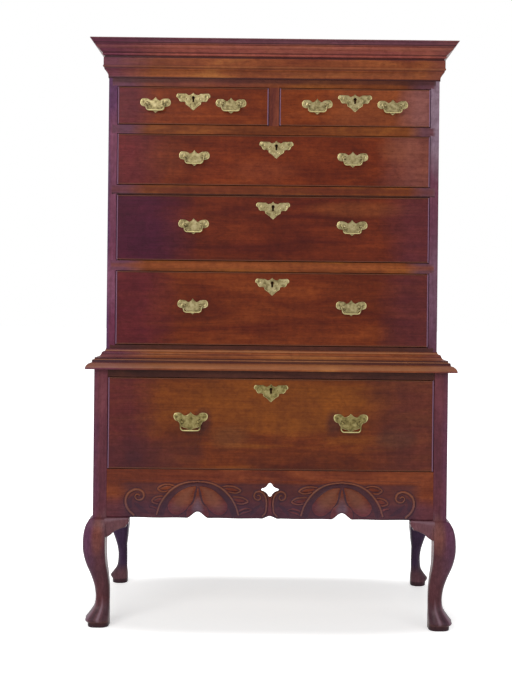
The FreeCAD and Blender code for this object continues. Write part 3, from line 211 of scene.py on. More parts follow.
def wood(name, dark, middle, light, along="x", seed=0.0, gloss=0.32, wear_and_highlight=(150, 105, 70),
         grime_and_shade=(42, 26, 34), carved=False, cloud=0.5, stains_and_painted_light=(), bead_highlights=None, sheen=0.03,
         pale=False):
    """Waxed wood. Noises stretched along the grain give figure, fine streaks and pores; clouds
    lie over it as old polish does. Each spot (middle, reach, colour, share) tints a soft patch:
    some are marks of the wood, many are painted sheen, highlights or shade. Bead highlights
    (middle, half, upright colour, level colour) paint a reflection on the upright strips round
    a drawer front and a highlight on the level ones. Carved wood has hollows darkened by dirt
    and painted shade and high places lightened by rubbing and painted highlights."""
    made, tree, shader = blank_material(name)
    place = node(tree, "ShaderNodeTexCoord", -2300, 0)
    turn = {"x": (0, 0, 0), "y": (0, 0, math.pi / 2), "z": (0, math.pi / 2, 0)}[along]
    aim = node(tree, "ShaderNodeMapping", -2100, 0, Vector=(place, "Object"), Rotation=turn)
    aim.inputs["Location"].default_value = (seed * 3.1, seed * 1.7, seed * 2.3)
    grain = (aim, 0)

    figure = noise(tree, -1700, 300, grain, 1.0, 4.0, 0.58, 0.9, (3.2, 17.0, 17.0))
    streaks = noise(tree, -1700, 0, grain, 1.0, 5.0, 0.62, 0.3, (7.0, 210.0, 210.0))
    pores = noise(tree, -1700, -300, grain, 1.0, 2.0, 0.5, 0.0, (90.0, 1600.0, 1600.0))
    ribs = noise(tree, -1700, -600, grain, 1.0, 2.0, 0.5, 0.6, (46.0, 7.0, 7.0))
    clouds = noise(tree, -1700, 600, (place, "Object"), 6.0 + seed % 3, 4.0, 0.6, 0.5)
    mottle = noise(tree, -1700, -900, grain, 1.0, 4.0, 0.7, 0.4, (55.0, 80.0, 80.0))

    base = ramp(tree, -1400, 300, (figure, 0), [(0.34, tint(*dark)), (0.50, tint(*middle)),
                                               (0.66, tint(*light))])
    split = node(tree, "ShaderNodeSeparateXYZ", -1700, 900, Vector=(place, "Object"))
    uneven = math_node(tree, -1500, 900, "ADD", (clouds, 0), -0.5)
    colour = (base, 0)
    for row, (spot, reach, shade, share) in enumerate(stains_and_painted_light):
        mask = patch(tree, -1400, 1100 + 200 * row, (place, "Object"), spot, reach, share,
                     (uneven, 0))
        colour = (mix(tree, -600 + 100 * row, 700, (mask, 0), colour, tint(*shade)), 2)
    # Each layer: its noise, where it starts and ends, its tone at either end, its share.
    layers = [(streaks, 0.42, 0.62, (1.08, 1.07, 1.05), (0.84, 0.80, 0.80), 0.85),
              (ribs, 0.35, 0.65, (0.94, 0.93, 0.93), (1.06, 1.07, 1.07), 0.7),
              (mottle, 0.36, 0.64, (0.78, 0.74, 0.74), (1.22, 1.28, 1.28), 0.7),
              (clouds, 0.34, 0.66, (0.72, 0.64, 0.74), (1.22, 1.26, 1.16), cloud)]
    for row, (source, low, high, below, above, share) in enumerate(layers):
        mask = spread(tree, -1400, -300 * row, (source, 0), low, high)
        tone = mix(tree, -1200, -300 * row, (mask, 0), below, above)
        colour = (mix(tree, -1000 + 200 * row, 200, share, colour, (tone, 2), "MULTIPLY"), 2)
    pore_mask = spread(tree, -1400, -300, (pores, 0), 0.60, 0.74, 0.0, 0.7)
    pore_tone = PALE_PORE if pale else DARK_PORE
    colour = (mix(tree, 320, 300, (pore_mask, 0), colour, pore_tone), 2)
    # The beads get a painted reflection on their upright strips and a painted highlight on the
    # level ones.
    if bead_highlights:
        spot, half, upright_reflection, level = bead_highlights
        sides = strips(tree, -600, 1900, (split, "X"), spot[0], half[0], BEAD_WIDE)
        ends = strips(tree, -600, 2100, (split, "Z"), spot[1], half[1], BEAD_WIDE)
        faint = spread(tree, -300, 2100, (ends, 0), 0.0, 1.0, 0.0, 0.7)
        strong = spread(tree, -300, 1900, (sides, 0), 0.0, 1.0, 0.0, 0.85)
        colour = (mix(tree, 400, 500, (faint, 0), colour, tint(*level)), 2)
        colour = (mix(tree, 500, 500, (strong, 0), colour, tint(*upright_reflection)), 2)
    # Hollows take the dirt colour with painted shade; crowns and arrises take the rubbed colour
    # with painted highlights.
    if carved:
        colour = worn(tree, colour, [(0.0, 0.48, 0.92, 0.0, tint(*grime_and_shade)),
                                     (0.54, 1.0, 0.0, 0.90, tint(*wear_and_highlight))])
    tree.links.new(colour[0].outputs[colour[1]], shader.inputs["Base Color"])

    rough = spread(tree, 320, -160, (clouds, 0), 0.3, 0.7, gloss - 0.05, gloss + 0.10)
    rougher = math_node(tree, 500, -200, "ADD", (rough, 0), (pore_mask, 0))
    rougher.use_clamp = True
    tree.links.new(rougher.outputs[0], shader.inputs["Roughness"])
    dips = math_node(tree, 320, -420, "MULTIPLY", (pore_mask, 0), 0.4)
    swell = math_node(tree, 500, -420, "SUBTRACT", (streaks, 0), (dips, 0))
    fine_relief(tree, shader, 680, -380, (swell, 0), 0.18, 0.0006)
    shader.inputs["Specular IOR Level"].default_value = 0.12
    shader.inputs["Coat Weight"].default_value = sheen
    shader.inputs["Coat Roughness"].default_value = 0.20
    return made


RUBBED_BRASS = tint(182, 170, 120)
# Near black where relief is 0, which only the keyhole's wall and the lock case behind it have:
# painted shade in the keyhole.
KEYHOLE_SHADE = tint(26, 22, 12)


def brass(name, bright, dull, tarnish):
    """Old rubbed brass: soft clouds of tarnish, fine scratches, bright where it is handled, and
    near black painted shade where relief is 0, in the keyhole.
    """
    made, tree, shader = blank_material(name)
    place = node(tree, "ShaderNodeTexCoord", -1300, 0)
    clouds = node(tree, "ShaderNodeTexNoise", -1080, 200, Vector=(place, "Object"), Scale=90.0,
                  Detail=5.0, Roughness=0.65)
    specks = node(tree, "ShaderNodeTexNoise", -1080, -80, Vector=(place, "Object"), Scale=650.0,
                  Detail=3.0, Roughness=0.6)
    tone = ramp(tree, -840, 200, (clouds, 0), [(0.32, tarnish), (0.50, dull), (0.66, bright)])
    colour = worn(tree, (tone, 0), [(0.0, 0.5, 0.75, 0.0, tarnish),
                                    (0.6, 1.0, 0.0, 0.85, RUBBED_BRASS),
                                    (0.0, 0.06, 0.95, 0.0, KEYHOLE_SHADE)])
    tree.links.new(colour[0].outputs[colour[1]], shader.inputs["Base Color"])
    shader.inputs["Metallic"].default_value = 1.0
    rough = spread(tree, -400, -60, (clouds, 0), 0.3, 0.7, 0.46, 0.30)
    tree.links.new(rough.outputs[0], shader.inputs["Roughness"])
    fine_relief(tree, shader, -200, -260, (specks, 0), 0.25, 0.0003)
    return made


def iron(name):
    """Dark filed iron with fine marks across it."""
    made, tree, shader = blank_material(name)
    place = node(tree, "ShaderNodeTexCoord", -1100, 0)
    aim = node(tree, "ShaderNodeMapping", -900, 0, Vector=(place, "Object"),
               Scale=(60.0, 60.0, 900.0))
    marks = node(tree, "ShaderNodeTexNoise", -700, 0, Vector=(aim, 0), Scale=1.0, Detail=4.0)
    tone = ramp(tree, -460, 100, (marks, 0), [(0.3, (0.045, 0.040, 0.036)),
                                              (0.7, (0.13, 0.12, 0.11))])
    tree.links.new(tone.outputs[0], shader.inputs["Base Color"])
    shader.inputs["Metallic"].default_value = 0.85
    rough = spread(tree, -460, -160, (marks, 0), 0.3, 0.7, 0.38, 0.6)
    tree.links.new(rough.outputs[0], shader.inputs["Roughness"])
    fine_relief(tree, shader, -240, -260, (marks, 0), 0.3, 0.0003)
    return made


# A reach in metres that goes past the whole piece.
ANY = 9.0
# Where the chest's front edges are, and where the back boards meet, in metres.
FRONT = UPPER_FACE * MM
BACK_JOINTS = (0.750, 0.9805, 1.211, 1.4415)


def front_beads(drawer, upright_reflection=(136, 102, 126), level=(108, 66, 48)):
    """The middle and reach of a drawer's front, from its own box, and the colours of the painted
    reflection and highlight on its beads.
    """
    low, high = (np.array(corner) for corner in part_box(drawer + "_front"))
    middle, half = (low + high) / 2, (high - low) / 2
    return ((float(middle[0]), float(middle[2])), (float(half[0]), float(half[2])), upright_reflection, level)


def stain(x, z, wide, tall, colour, share, y=0.0, deep=ANY):
    """A soft spot of a colour, given in the plane of the front unless it has a depth: a real mark
    on the wood, or painted sheen, highlight or shade.
    """
    return ((x, y, z), (wide, deep, tall), colour, share)


# Each wood's dark, middle and light tone as 0 to 255, and its stains and painted light in metres:
# the purple and lilac spots at edges are painted sheen, and some dark and light spots are painted
# shade and highlights.
FINISH = {
    "top_left": wood("mahogany_top_left", (98, 36, 12), (116, 48, 16), (130, 58, 22), seed=1.0,
                     bead_highlights=front_beads("drawer_top_left"),
                     # The purple spot at the left edge is painted sheen.
                     stains_and_painted_light=[stain(-0.47, 1.53, 0.07, ANY, (88, 28, 44), 0.75)]),
    "top_right": wood("mahogany_top_right", (100, 38, 12), (118, 50, 16), (134, 62, 26), seed=1.6,
                      bead_highlights=front_beads("drawer_top_right"),
                      stains_and_painted_light=[stain(0.30, 1.53, 0.12, ANY, (134, 72, 40), 0.5),
                              # The lilac spot at the right edge is painted sheen.
                              stain(0.47, 1.53, 0.07, ANY, (134, 86, 84), 0.75)]),
    "second_drawer": wood("mahogany_second_drawer", (90, 30, 10), (106, 40, 14), (122, 52, 20),
                          seed=2.0, cloud=0.75, bead_highlights=front_beads("drawer_second"),
                          stains_and_painted_light=[stain(-0.33, 1.365, 0.06, 0.040, (124, 58, 30), 0.45),
                                  stain(-0.03, 1.335, 0.07, 0.025, (132, 62, 34), 0.5),
                                  stain(0.38, 1.40, 0.05, 0.030, (130, 72, 40), 0.45),
                                  # The purple spot at the left edge and the pale one at the right
                                  # are painted sheen.
                                  stain(-0.47, 1.36, 0.09, ANY, (92, 30, 42), 0.7),
                                  stain(0.47, 1.36, 0.10, ANY, (120, 70, 64), 0.65)]),
    "third_drawer": wood("mahogany_third_drawer", (76, 22, 12), (92, 32, 14), (108, 42, 18),
                         seed=3.0, bead_highlights=front_beads("drawer_third"),
                         stains_and_painted_light=[stain(0.26, 1.225, 0.12, 0.016, (132, 68, 34), 0.55),
                                 stain(-0.34, 1.13, 0.07, 0.060, (60, 22, 30), 0.5),
                                 # The purple spot at the left edge and the pale one at the right
                                 # are painted sheen.
                                 stain(-0.47, 1.16, 0.15, ANY, (68, 17, 44), 0.8),
                                 stain(0.47, 1.16, 0.09, ANY, (92, 40, 50), 0.6)]),
    "fourth_drawer": wood("mahogany_fourth_drawer", (86, 28, 10), (102, 40, 14), (118, 52, 20),
                          seed=4.0, bead_highlights=front_beads("drawer_fourth"),
                          # The purple spots at both edges are painted sheen.
                          stains_and_painted_light=[stain(-0.47, 0.93, 0.12, ANY, (86, 24, 38), 0.75),
                                  stain(0.47, 0.93, 0.10, ANY, (84, 34, 44), 0.6)]),
    "base_drawer": wood("mahogany_base_drawer", (84, 32, 14), (104, 46, 18), (122, 64, 22),
                        seed=5.0, cloud=0.85, bead_highlights=front_beads("drawer_base"),
                        stains_and_painted_light=[stain(-0.02, 0.66, 0.27, 0.07, (126, 68, 20), 0.6),
                                stain(-0.12, 0.555, 0.04, 0.025, (124, 76, 40), 0.4),
                                stain(0.37, 0.555, 0.04, 0.020, (106, 72, 46), 0.5),
                                # The dark spots beside the two handles are painted shadows of the
                                # brasses.
                                stain(-0.195, 0.602, 0.018, 0.028, (58, 24, 26), 0.6),
                                stain(0.185, 0.600, 0.018, 0.028, (56, 24, 28), 0.6),
                                stain(-0.40, 0.495, 0.018, 0.012, (62, 52, 50), 0.7),
                                # The purple spot at the left edge is painted sheen.
                                stain(-0.47, 0.60, 0.09, ANY, (84, 30, 38), 0.75),
                                stain(-0.40, 0.49, 0.14, 0.05, (70, 30, 36), 0.6),
                                stain(0.47, 0.58, 0.12, ANY, (80, 36, 36), 0.6)]),
    "rail": wood("mahogany_rails", (98, 44, 16), (116, 58, 24), (134, 76, 30), seed=6.0,
                 # The purple and lilac spots at the ends and at the upper left are painted sheen
                 # and reflection.
                 stains_and_painted_light=[stain(-0.475, 1.2, 0.06, ANY, (96, 56, 76), 0.9),
                         stain(0.475, 1.2, 0.05, ANY, (94, 60, 76), 0.8),
                         stain(0.49, 1.2, 0.014, ANY, (120, 96, 112), 0.6),
                         stain(0.49, 1.5, 0.014, 0.12, (150, 130, 144), 0.7),
                         stain(-0.25, 1.615, 0.22, 0.03, (104, 50, 60), 0.5),
                         stain(0.0, 1.277, 0.42, 0.010, (92, 36, 22), 0.75),
                         # A painted shadow line in the gap above the third drawer.
                         stain(0.0, 1.264, ANY, 0.0016, (44, 20, 16), 0.9),
                         # A painted highlight along the middle of the blade above the fourth
                         # drawer.
                         stain(0.0, 1.054, 0.40, 0.007, (146, 76, 38), 0.7),
                         # Painted shade on the bottom rail under the fourth drawer.
                         stain(0.0, 0.816, ANY, 0.009, (70, 34, 26), 0.9),
                         # A painted shadow on the top rail under the cornice.
                         stain(0.0, 1.600, ANY, 0.007, (62, 28, 24), 0.7)]),
    # The base top rail under the waist moulding is dark all through: painted shade.
    "shaded_low_rail": wood("mahogany_stand_rail_painted_shade", (58, 26, 20), (70, 34, 26), (82, 44, 32), seed=6.6),
    "stile": wood("mahogany_divider", (84, 34, 30), (104, 48, 34), (122, 62, 44), along="z",
                  seed=7.0),
    "side": wood("mahogany_sides", (84, 34, 16), (104, 48, 22), (124, 64, 30), along="z", seed=8.0,
                 # All these spots on the front edges are painted purple and lilac sheen and
                 # reflection.
                 stains_and_painted_light=[stain(-0.48, 1.2, 0.10, ANY, (104, 48, 72), 0.95, FRONT, 0.020),
                         stain(-0.492, 1.2, 0.009, ANY, (84, 58, 98), 0.75, FRONT, 0.020),
                         stain(0.48, 1.2, 0.10, ANY, (100, 54, 74), 0.95, FRONT, 0.020),
                         stain(-0.47, 1.4, 0.01, 0.26, (134, 92, 116), 0.2, FRONT, 0.010),
                         stain(-0.48, 1.56, 0.03, 0.07, (72, 36, 76), 0.75, FRONT, 0.010),
                         stain(-0.48, 1.0, 0.03, 0.06, (136, 88, 112), 0.45, FRONT, 0.010),
                         stain(0.48, 1.5, 0.03, 0.12, (148, 128, 142), 0.75, FRONT, 0.010),
                         stain(0.48, 0.99, 0.03, 0.12, (112, 86, 104), 0.5, FRONT, 0.010)]),
    "moulding": wood("mahogany_mouldings", (114, 54, 30), (136, 72, 38), (156, 94, 48), seed=9.0,
                     carved=True, wear_and_highlight=(166, 116, 82), grime_and_shade=(52, 22, 26), cloud=0.4,
                     # The dark purple band on the top fascia is painted shade with a painted
                     # purple sheen.
                     stains_and_painted_light=[stain(0.0, 1.706, ANY, 0.0075, (100, 58, 76), 0.9),
                             # The light band on the crown is a painted highlight.
                             stain(0.0, 1.680, ANY, 0.0140, (154, 80, 80), 0.6),
                             # The purple and reddish spots at the ends are painted sheen.
                             stain(-0.56, 1.2, 0.12, ANY, (100, 46, 66), 0.9),
                             stain(0.58, 1.2, 0.08, ANY, (116, 62, 62), 0.8)]),
    "moulding_side": wood("mahogany_returns", (92, 42, 26), (112, 56, 34), (130, 72, 42),
                          along="y", seed=10.0, carved=True, wear_and_highlight=(160, 112, 86),
                          grime_and_shade=(46, 20, 30),
                          # The purple at the front of the returns is painted sheen.
                          stains_and_painted_light=[stain(0.0, 1.2, ANY, ANY, (96, 46, 70), 0.8, -0.26, 0.05)]),
    "leg": wood("mahogany_legs", (78, 35, 36), (94, 45, 48), (110, 58, 60), along="z", seed=11.0,
                # The pale lilac rubbed colour paints highlights on the toe ridges and the bracket
                # lips.
                carved=True, wear_and_highlight=(156, 130, 142),
                # The purple stripes at the outer edges are painted sheen.
                stains_and_painted_light=[stain(-0.545, 0.4, 0.030, 0.42, (96, 60, 96), 0.75),
                        stain(0.545, 0.4, 0.030, 0.42, (92, 60, 92), 0.75),
                        # The purple over the posts is painted sheen.
                        stain(0.0, 0.50, ANY, 0.24, (104, 54, 72), 0.4),
                        stain(-0.45, 0.30, 0.035, 0.035, (110, 76, 80), 0.7),
                        stain(0.45, 0.30, 0.035, 0.035, (110, 76, 84), 0.7),
                        stain(-0.498, 0.262, 0.012, 0.042, (132, 74, 54), 0.55),
                        stain(0.490, 0.272, 0.014, 0.040, (126, 78, 64), 0.55),
                        stain(0.0, 0.150, ANY, 0.070, (74, 50, 60), 0.4),
                        # The purple on the feet is painted sheen.
                        stain(0.0, 0.030, ANY, 0.030, (94, 70, 80), 0.6),
                        stain(0.0, 0.012, ANY, 0.006, (92, 46, 36), 0.7),
                        # The rear legs are darkened by painted shade, with less of it at their
                        # feet.
                        stain(0.0, 0.1, ANY, 0.19, (56, 38, 70), 0.85, 0.27, 0.16),
                        stain(0.0, 0.02, ANY, 0.030, (112, 74, 76), 0.7, 0.27, 0.16)]),
    "carving": wood("mahogany_carving", (94, 38, 22), (110, 49, 27), (130, 64, 34), seed=12.0,
                    carved=True, wear_and_highlight=(140, 104, 86), grime_and_shade=(44, 32, 48), cloud=0.6,
                    # The purple along the lower edge is painted sheen.
                    stains_and_painted_light=[stain(0.0, 0.326, ANY, 0.036, (86, 46, 64), 0.65),
                            # The grey-blue spots on the notches' spines are painted sheen.
                            stain(-0.210, 0.350, 0.012, 0.022, (112, 92, 104), 0.6),
                            stain(0.210, 0.350, 0.012, 0.022, (108, 90, 102), 0.6)]
                    + [stain(x, 0.378, 0.024, 0.022, petal, 0.7) for x, petal in (
                        (-0.245, (118, 62, 42)), (-0.175, (112, 58, 40)),
                        (0.245, (110, 58, 40)), (0.175, (120, 66, 44)))]),
    "plain_x": wood("oak_across", (136, 104, 72), (156, 123, 87), (174, 142, 104), seed=13.0,
                    gloss=0.6, sheen=0.0, pale=True, cloud=0.2,
                    stains_and_painted_light=[stain(0.0, 0.865, ANY, 0.105, (174, 144, 108), 0.5, 0.25, 0.03),
                            stain(0.0, 1.326, ANY, 0.105, (138, 106, 74), 0.5, 0.25, 0.03)]
                    + [stain(0.0, height, ANY, 0.0014, (48, 34, 24), 0.95, 0.25, 0.03)
                       for height in BACK_JOINTS]),
    "plain_y": wood("oak_front_to_back", (140, 108, 74), (162, 129, 91), (180, 148, 108),
                    along="y", seed=14.0, gloss=0.6, sheen=0.0, pale=True, cloud=0.2),
    "brass": brass("rubbed_brass", tint(158, 146, 110), tint(134, 122, 86), tint(84, 74, 48)),
    "dull_brass": brass("dull_brass", tint(136, 125, 84), tint(112, 101, 62), tint(66, 57, 32)),
    "iron": iron("filed_iron"),
}


def finish_node(name, finish):
    """Puts a finish on a carried-over node, in every one of its material slots."""
    for place in frame["nodes"][name].material_slots:
        place.material = FINISH[finish]


NODE_FINISH = {
    "drawer_top_left_front": "top_left", "drawer_top_right_front": "top_right",
    "drawer_second_front": "second_drawer", "drawer_third_front": "third_drawer",
    "drawer_fourth_front": "fourth_drawer", "drawer_base_front": "base_drawer",
    "drawer_blades": "rail", "top_drawer_divider": "stile", "base_top_rail": "shaded_low_rail",
    "upper_side_left": "side", "upper_side_right": "side", "base_side_left": "side",
    "base_side_right": "side", "upper_top_board": "plain_x", "upper_bottom_board": "plain_x",
    "upper_back_boards": "plain_x", "base_back": "plain_x", "upper_runners": "plain_y",
    "base_runners": "plain_y", "glue_blocks": "plain_x", "apron": "carving",
    "waist_moulding_front": "moulding", "waist_moulding_returns": "moulding_side",
    "cornice_front": "moulding", "cornice_returns": "moulding_side", "knee_brackets": "leg",
}
for corner in ("front_left", "front_right", "rear_left", "rear_right"):
    NODE_FINISH["leg_" + corner] = "leg"
DRAWERS = ("drawer_top_left", "drawer_top_right", "drawer_second", "drawer_third",
           "drawer_fourth", "drawer_base")
for drawer in DRAWERS:
    NODE_FINISH[drawer + "_box"] = "plain_y"
    for metal in ("_brasses", "_bail_left", "_bail_right"):
        NODE_FINISH[drawer + metal] = "dull_brass" if drawer == "drawer_base" else "brass"
    NODE_FINISH[drawer + "_bolt"] = "iron"
for name, finish in NODE_FINISH.items():
    finish_node(name, finish)


# ---------------------------------------------------------------------------------------------
# Making pieces from formulas; lengths are in millimetres
# ---------------------------------------------------------------------------------------------
def flow(stops, values, where):
    """A smooth curve through values at stops: cubic Hermite, each slope the neighbours' own."""
    stops = np.asarray(stops, float)
    values = np.asarray(values, float).reshape(len(stops), -1)
    slopes = np.gradient(values, stops, axis=0)
    k = np.clip(np.searchsorted(stops, where, side="right") - 1, 0, len(stops) - 2)
    span = (stops[k + 1] - stops[k])[:, None]
    t = (where - stops[k])[:, None] / span
    return ((1 + 2 * t) * (1 - t) ** 2 * values[k] + t * (1 - t) ** 2 * span * slopes[k]
            + t ** 2 * (3 - 2 * t) * values[k + 1] + t ** 2 * (t - 1) * span * slopes[k + 1])


def path_through(points, count):
    """Evenly spaced points on a smooth path through the given ones."""
    points = np.asarray(points, float)
    walked = np.append(0.0, np.cumsum(np.linalg.norm(np.diff(points, axis=0), axis=1)))
    return flow(walked, points, np.linspace(0.0, walked[-1], count))


def outline(corners, closed=True, steps=8):
    """Points along an outline of (across, up, bulge) corners. A bulge is the sagitta of the
    stretch that leaves the corner, to the right of the way round; 0 is straight."""
    rows = np.asarray(corners, float)
    spots, bulges = rows[:, :2], rows[:, 2:]
    ends = np.roll(spots, -1, axis=0)
    if not closed:
        spots, ends, bulges = spots[:-1], ends[:-1], bulges[:-1]
    chord = np.linalg.norm(ends - spots, axis=1, keepdims=True)
    along = (ends - spots) / chord
    right = np.stack([along[:, 1], -along[:, 0]], axis=1)
    half = 2 * np.arctan(2 * bulges / chord)
    half = np.where(np.abs(half) < 1e-5, 1e-5, half)
    radius = chord / (2 * np.sin(half))
    centre = (spots + ends) / 2 + right * (bulges - radius)
    turn = half * (2 * np.arange(steps)[None, :] / steps - 1)
    points = (centre[:, None] + (radius * np.cos(turn))[..., None] * right[:, None]
              + (radius * np.sin(turn))[..., None] * along[:, None]).reshape(-1, 2)
    return points if closed else np.vstack([points, rows[-1, :2]])


def mirrored_outline(half):
    """A whole outline from its right half, which runs from the bottom up to the top."""
    left = [(-x, z, before) for (x, z, _), (_, _, before) in zip(half[1:], half)]
    return half[:-1] + left[::-1]


def grid_faces(rows, columns, round_rows=False, round_columns=False):
    """Quads over points numbered row by row; a round direction closes on itself."""
    row, column = np.meshgrid(np.arange(rows - (not round_rows)),
                              np.arange(columns - (not round_columns)), indexing="ij")
    over, beside = (row + 1) % rows, (column + 1) % columns
    return np.stack([row * columns + column, row * columns + beside, over * columns + beside,
                     over * columns + column], axis=-1).reshape(-1, 4)


def swept(stations, relief=None):
    """A closed shell through rings of points, (rings, points, 3), with a face on each end."""
    rings, count = stations.shape[:2]
    end = np.arange(count)[None, :]
    faces = [grid_faces(rings, count, round_columns=True), end[:, ::-1], (rings - 1) * count + end]
    level = np.broadcast_to(0.5 if relief is None else relief, (rings, count))
    return stations.reshape(-1, 3), faces, level.reshape(-1)


def turned(profile, count=32, axis="y"):
    """A shell turned about an axis from (along, radius) points; its ends are closed."""
    profile = np.asarray(profile, float)
    angle = np.linspace(0, 2 * math.pi, count, endpoint=False)[None, :]
    along = np.broadcast_to(profile[:, :1], (len(profile), count))
    across, up = profile[:, 1:] * np.cos(angle), profile[:, 1:] * np.sin(angle)
    order = {"x": (along, across, up), "y": (across, along, up), "z": (across, up, along)}[axis]
    return swept(np.stack(order, axis=-1))


def eased_box(low, high, ease):
    """A block with rounded edges: a ball of radius ease, parted into its eight corners."""
    low, high = np.asarray(low, float), np.asarray(high, float)
    tilt = (np.arange(8) + 0.5) / 8 * math.pi - math.pi / 2
    turn = (np.arange(16) + 0.5) / 16 * 2 * math.pi
    wide, tall = np.cos(tilt)[:, None], np.sin(tilt)[:, None]
    ball = np.stack([wide * np.cos(turn), wide * np.sin(turn), tall * np.ones(16)], axis=-1)
    middle, reach = (low + high) / 2, (high - low) / 2 - ease
    return swept(middle + np.sign(ball) * reach + ease * ball)


def placed(shell, move):
    """A shell moved to its place."""
    points, faces, relief = shell
    return points + np.asarray(move, float), faces, relief


# The angle in degrees from which a piece's edge stays sharp.
CREASE = 38


def make_piece(name, shells, finish, body, stands_for=(), crease=CREASE):
    """One object at the origin from closed shells, its faces turned outward and its edges
    smoothed below the crease angle. The relief value of every point drives its rubbing, dirt and
    painted highlights and shade."""
    counts = np.cumsum([0] + [len(points) for points, _, _ in shells])
    points = np.vstack([shell[0] for shell in shells]) * MM
    relief = np.concatenate([shell[2] for shell in shells])
    blocks = [block + start for (_, faces, _), start in zip(shells, counts) for block in faces]
    corners = np.concatenate([block.reshape(-1) for block in blocks])
    sizes = np.concatenate([np.full(len(block), block.shape[1]) for block in blocks])
    mesh = bpy.data.meshes.new(name)
    mesh.vertices.add(len(points))
    mesh.vertices.foreach_set("co", points.astype(np.float32).reshape(-1))
    mesh.loops.add(len(corners))
    mesh.loops.foreach_set("vertex_index", corners.astype(np.int32))
    mesh.polygons.add(len(sizes))
    mesh.polygons.foreach_set("loop_start", np.append(0, np.cumsum(sizes)[:-1]).astype(np.int32))
    mesh.update(calc_edges=True)
    shape = bmesh.new()
    shape.from_mesh(mesh)
    bmesh.ops.recalc_face_normals(shape, faces=shape.faces)
    shape.to_mesh(mesh)
    shape.free()
    mesh.attributes.new("relief", "FLOAT", "POINT").data.foreach_set("value", relief)
    mesh.shade_smooth()
    mesh.set_sharp_from_angle(angle=math.radians(crease))
    mesh.materials.append(FINISH[finish])
    made = bpy.data.objects.new(name, mesh)
    bpy.context.scene.collection.objects.link(made)
    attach(made, body)
    if stands_for:
        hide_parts(*stands_for)
    return made


def hand_wave(where, seed, size=0.15):
    """A slow unevenness of hand-planed wood, as a sum of three sines."""
    return size * (np.sin(where / 61 + seed) + 0.6 * np.sin(where / 23 + 2 * seed)
                   + 0.4 * np.sin(where / 9 + 3 * seed))


# ---------------------------------------------------------------------------------------------
# Legs and knee brackets
# ---------------------------------------------------------------------------------------------
# One row a section: height over the floor, outward face, inward face (both from the case's outer
# face), radius of the outer and inner corners, radius of the two flank corners.
LEG_CURVE = [
    (0, 9.5, 48, 20, 20), (1.5, 11.5, 49, 20, 20), (13, 12.5, 49, 20, 20), (18, 17, 49, 21, 21),
    (22, 19, 49, 21, 21), (26, 18.2, 49, 21, 21), (35, 11, 49, 20, 20), (57, -3.7, 48.5, 18, 18),
    (79, -7.2, 48.5, 17, 17), (112, -5.1, 48, 16, 16), (149, 4.4, 45.5, 15, 14),
    (189, 17.8, 41, 14, 12), (222, 24.5, 40, 14, 9), (255, 25.5, 40, 14, 5),
    (284, 22, 40, 12, 3), (300, 17, 40, 9, 2.5), (314, 9, 40, 5, 2), (318, 0, 40, 1.5, 1.5),
]
# The first rows are the foot. Straight lines join them, and those above the knee's top.
FOOT_ROWS = 6
KNEE_TOP = 300.0
# How much slimmer the rear legs are, the height where that begins, and how far below it is whole.
REAR_SLIM = 11.0
SLIM_BELOW = 189.0
SLIM_OVER = 60.0
# Directions of the toes from straight outwards, their width, and how strong they are by height.
TOES = np.radians([-52.0, 0.0, 52.0])
TOE_WIDE = 0.27
TOE_HEIGHTS = [0, 13, 20, 30, 48, 70, 100]
TOE_AMOUNTS = [0.2, 0.3, 0.9, 1.1, 1.0, 0.55, 0]
# Points of a ring's quarter round, and steps of its flat.
ROUND_POINTS = 15
FLAT_POINTS = 8
# The pad under the foot, dark up to the first of these heights and plain from the second.
PAD_HEIGHTS = [12, 16]
PAD_TONES = [0.06, 0.5]
# A knee bracket: the lower edge of its face as (along, below the case, bulge); its start, length
# and tip; and, by the way along it, the drop of its upper edge and how far its face stands out.
BRACKET_LOWER = [(-4, 57.5, 0), (0, 56, -2), (23, 40, 2), (58, 27, 2.5), (64, 18, 1.2),
                 (66.4, 10, 0)]
BRACKET_START = -4
BRACKET_LONG = 66.4
BRACKET_TIP = 6.4
BRACKET_UPPER = ([-4, 62, 65, 66.4], [0, 0, 2.5, 9.6])
BRACKET_PROUD = ([-4, 20, 45, 60, 66.4], [15.4, 10.5, 6.2, 4.2, 1.5])
# The round of its lower edge, its thickness behind the case's face, and the ease of its back.
BRACKET_ROUND = 5.0
BRACKET_THICK = 20
BRACKET_EASE = 2
# Its upper lip: shares of the face's stand-out and of the lip's height, tones that paint a
# highlight along it, greatest height.
LIP_OUT = [0.2, 0.44, 0.64, 0.86, 1.0]
LIP_DOWN = [0, 0.1, 0.25, 0.55, 1.0]
LIP_HIGHLIGHT_TONES = [0.5, 0.64, 0.7, 0.6, 0.5]
LIP_TALL = 15


def corner_place(points, side, end):
    """From (outward across, outward in depth, height) at a corner of the stand to its place."""
    across, deep, height = np.moveaxis(points, -1, 0)
    return np.stack([side * (BASE_HALF + across), end * (BASE_BACK + deep), height], axis=-1)


def rounded_squares(out, back, corner, flank):
    """Rings of four quarter rounds with flats between them: out and back are how far the faces
    stand outside and inside the case's outer corner, corner and flank the rounds' radii."""
    turn = np.radians(np.linspace(0, 90, ROUND_POINTS))
    quarters = []
    for start, outward_x, outward_y, radius in ((-90, 1, -1, corner), (0, 1, 1, flank),
                                                (90, -1, 1, corner), (180, -1, -1, flank)):
        middle_x = out - radius if outward_x > 0 else radius - back
        middle_y = back - radius if outward_y > 0 else radius - out
        angle = turn + math.radians(start)
        quarters.append(np.stack([middle_x + radius * np.cos(angle),
                                  middle_y + radius * np.sin(angle)], axis=-1))
    share = (np.arange(1, FLAT_POINTS) / FLAT_POINTS)[None, :, None]
    parts = []
    for here, after in zip(quarters, quarters[1:] + quarters[:1]):
        parts += [here, here[:, -1:] + share * (after[:, :1] - here[:, -1:])]
    return np.concatenate(parts, axis=1)


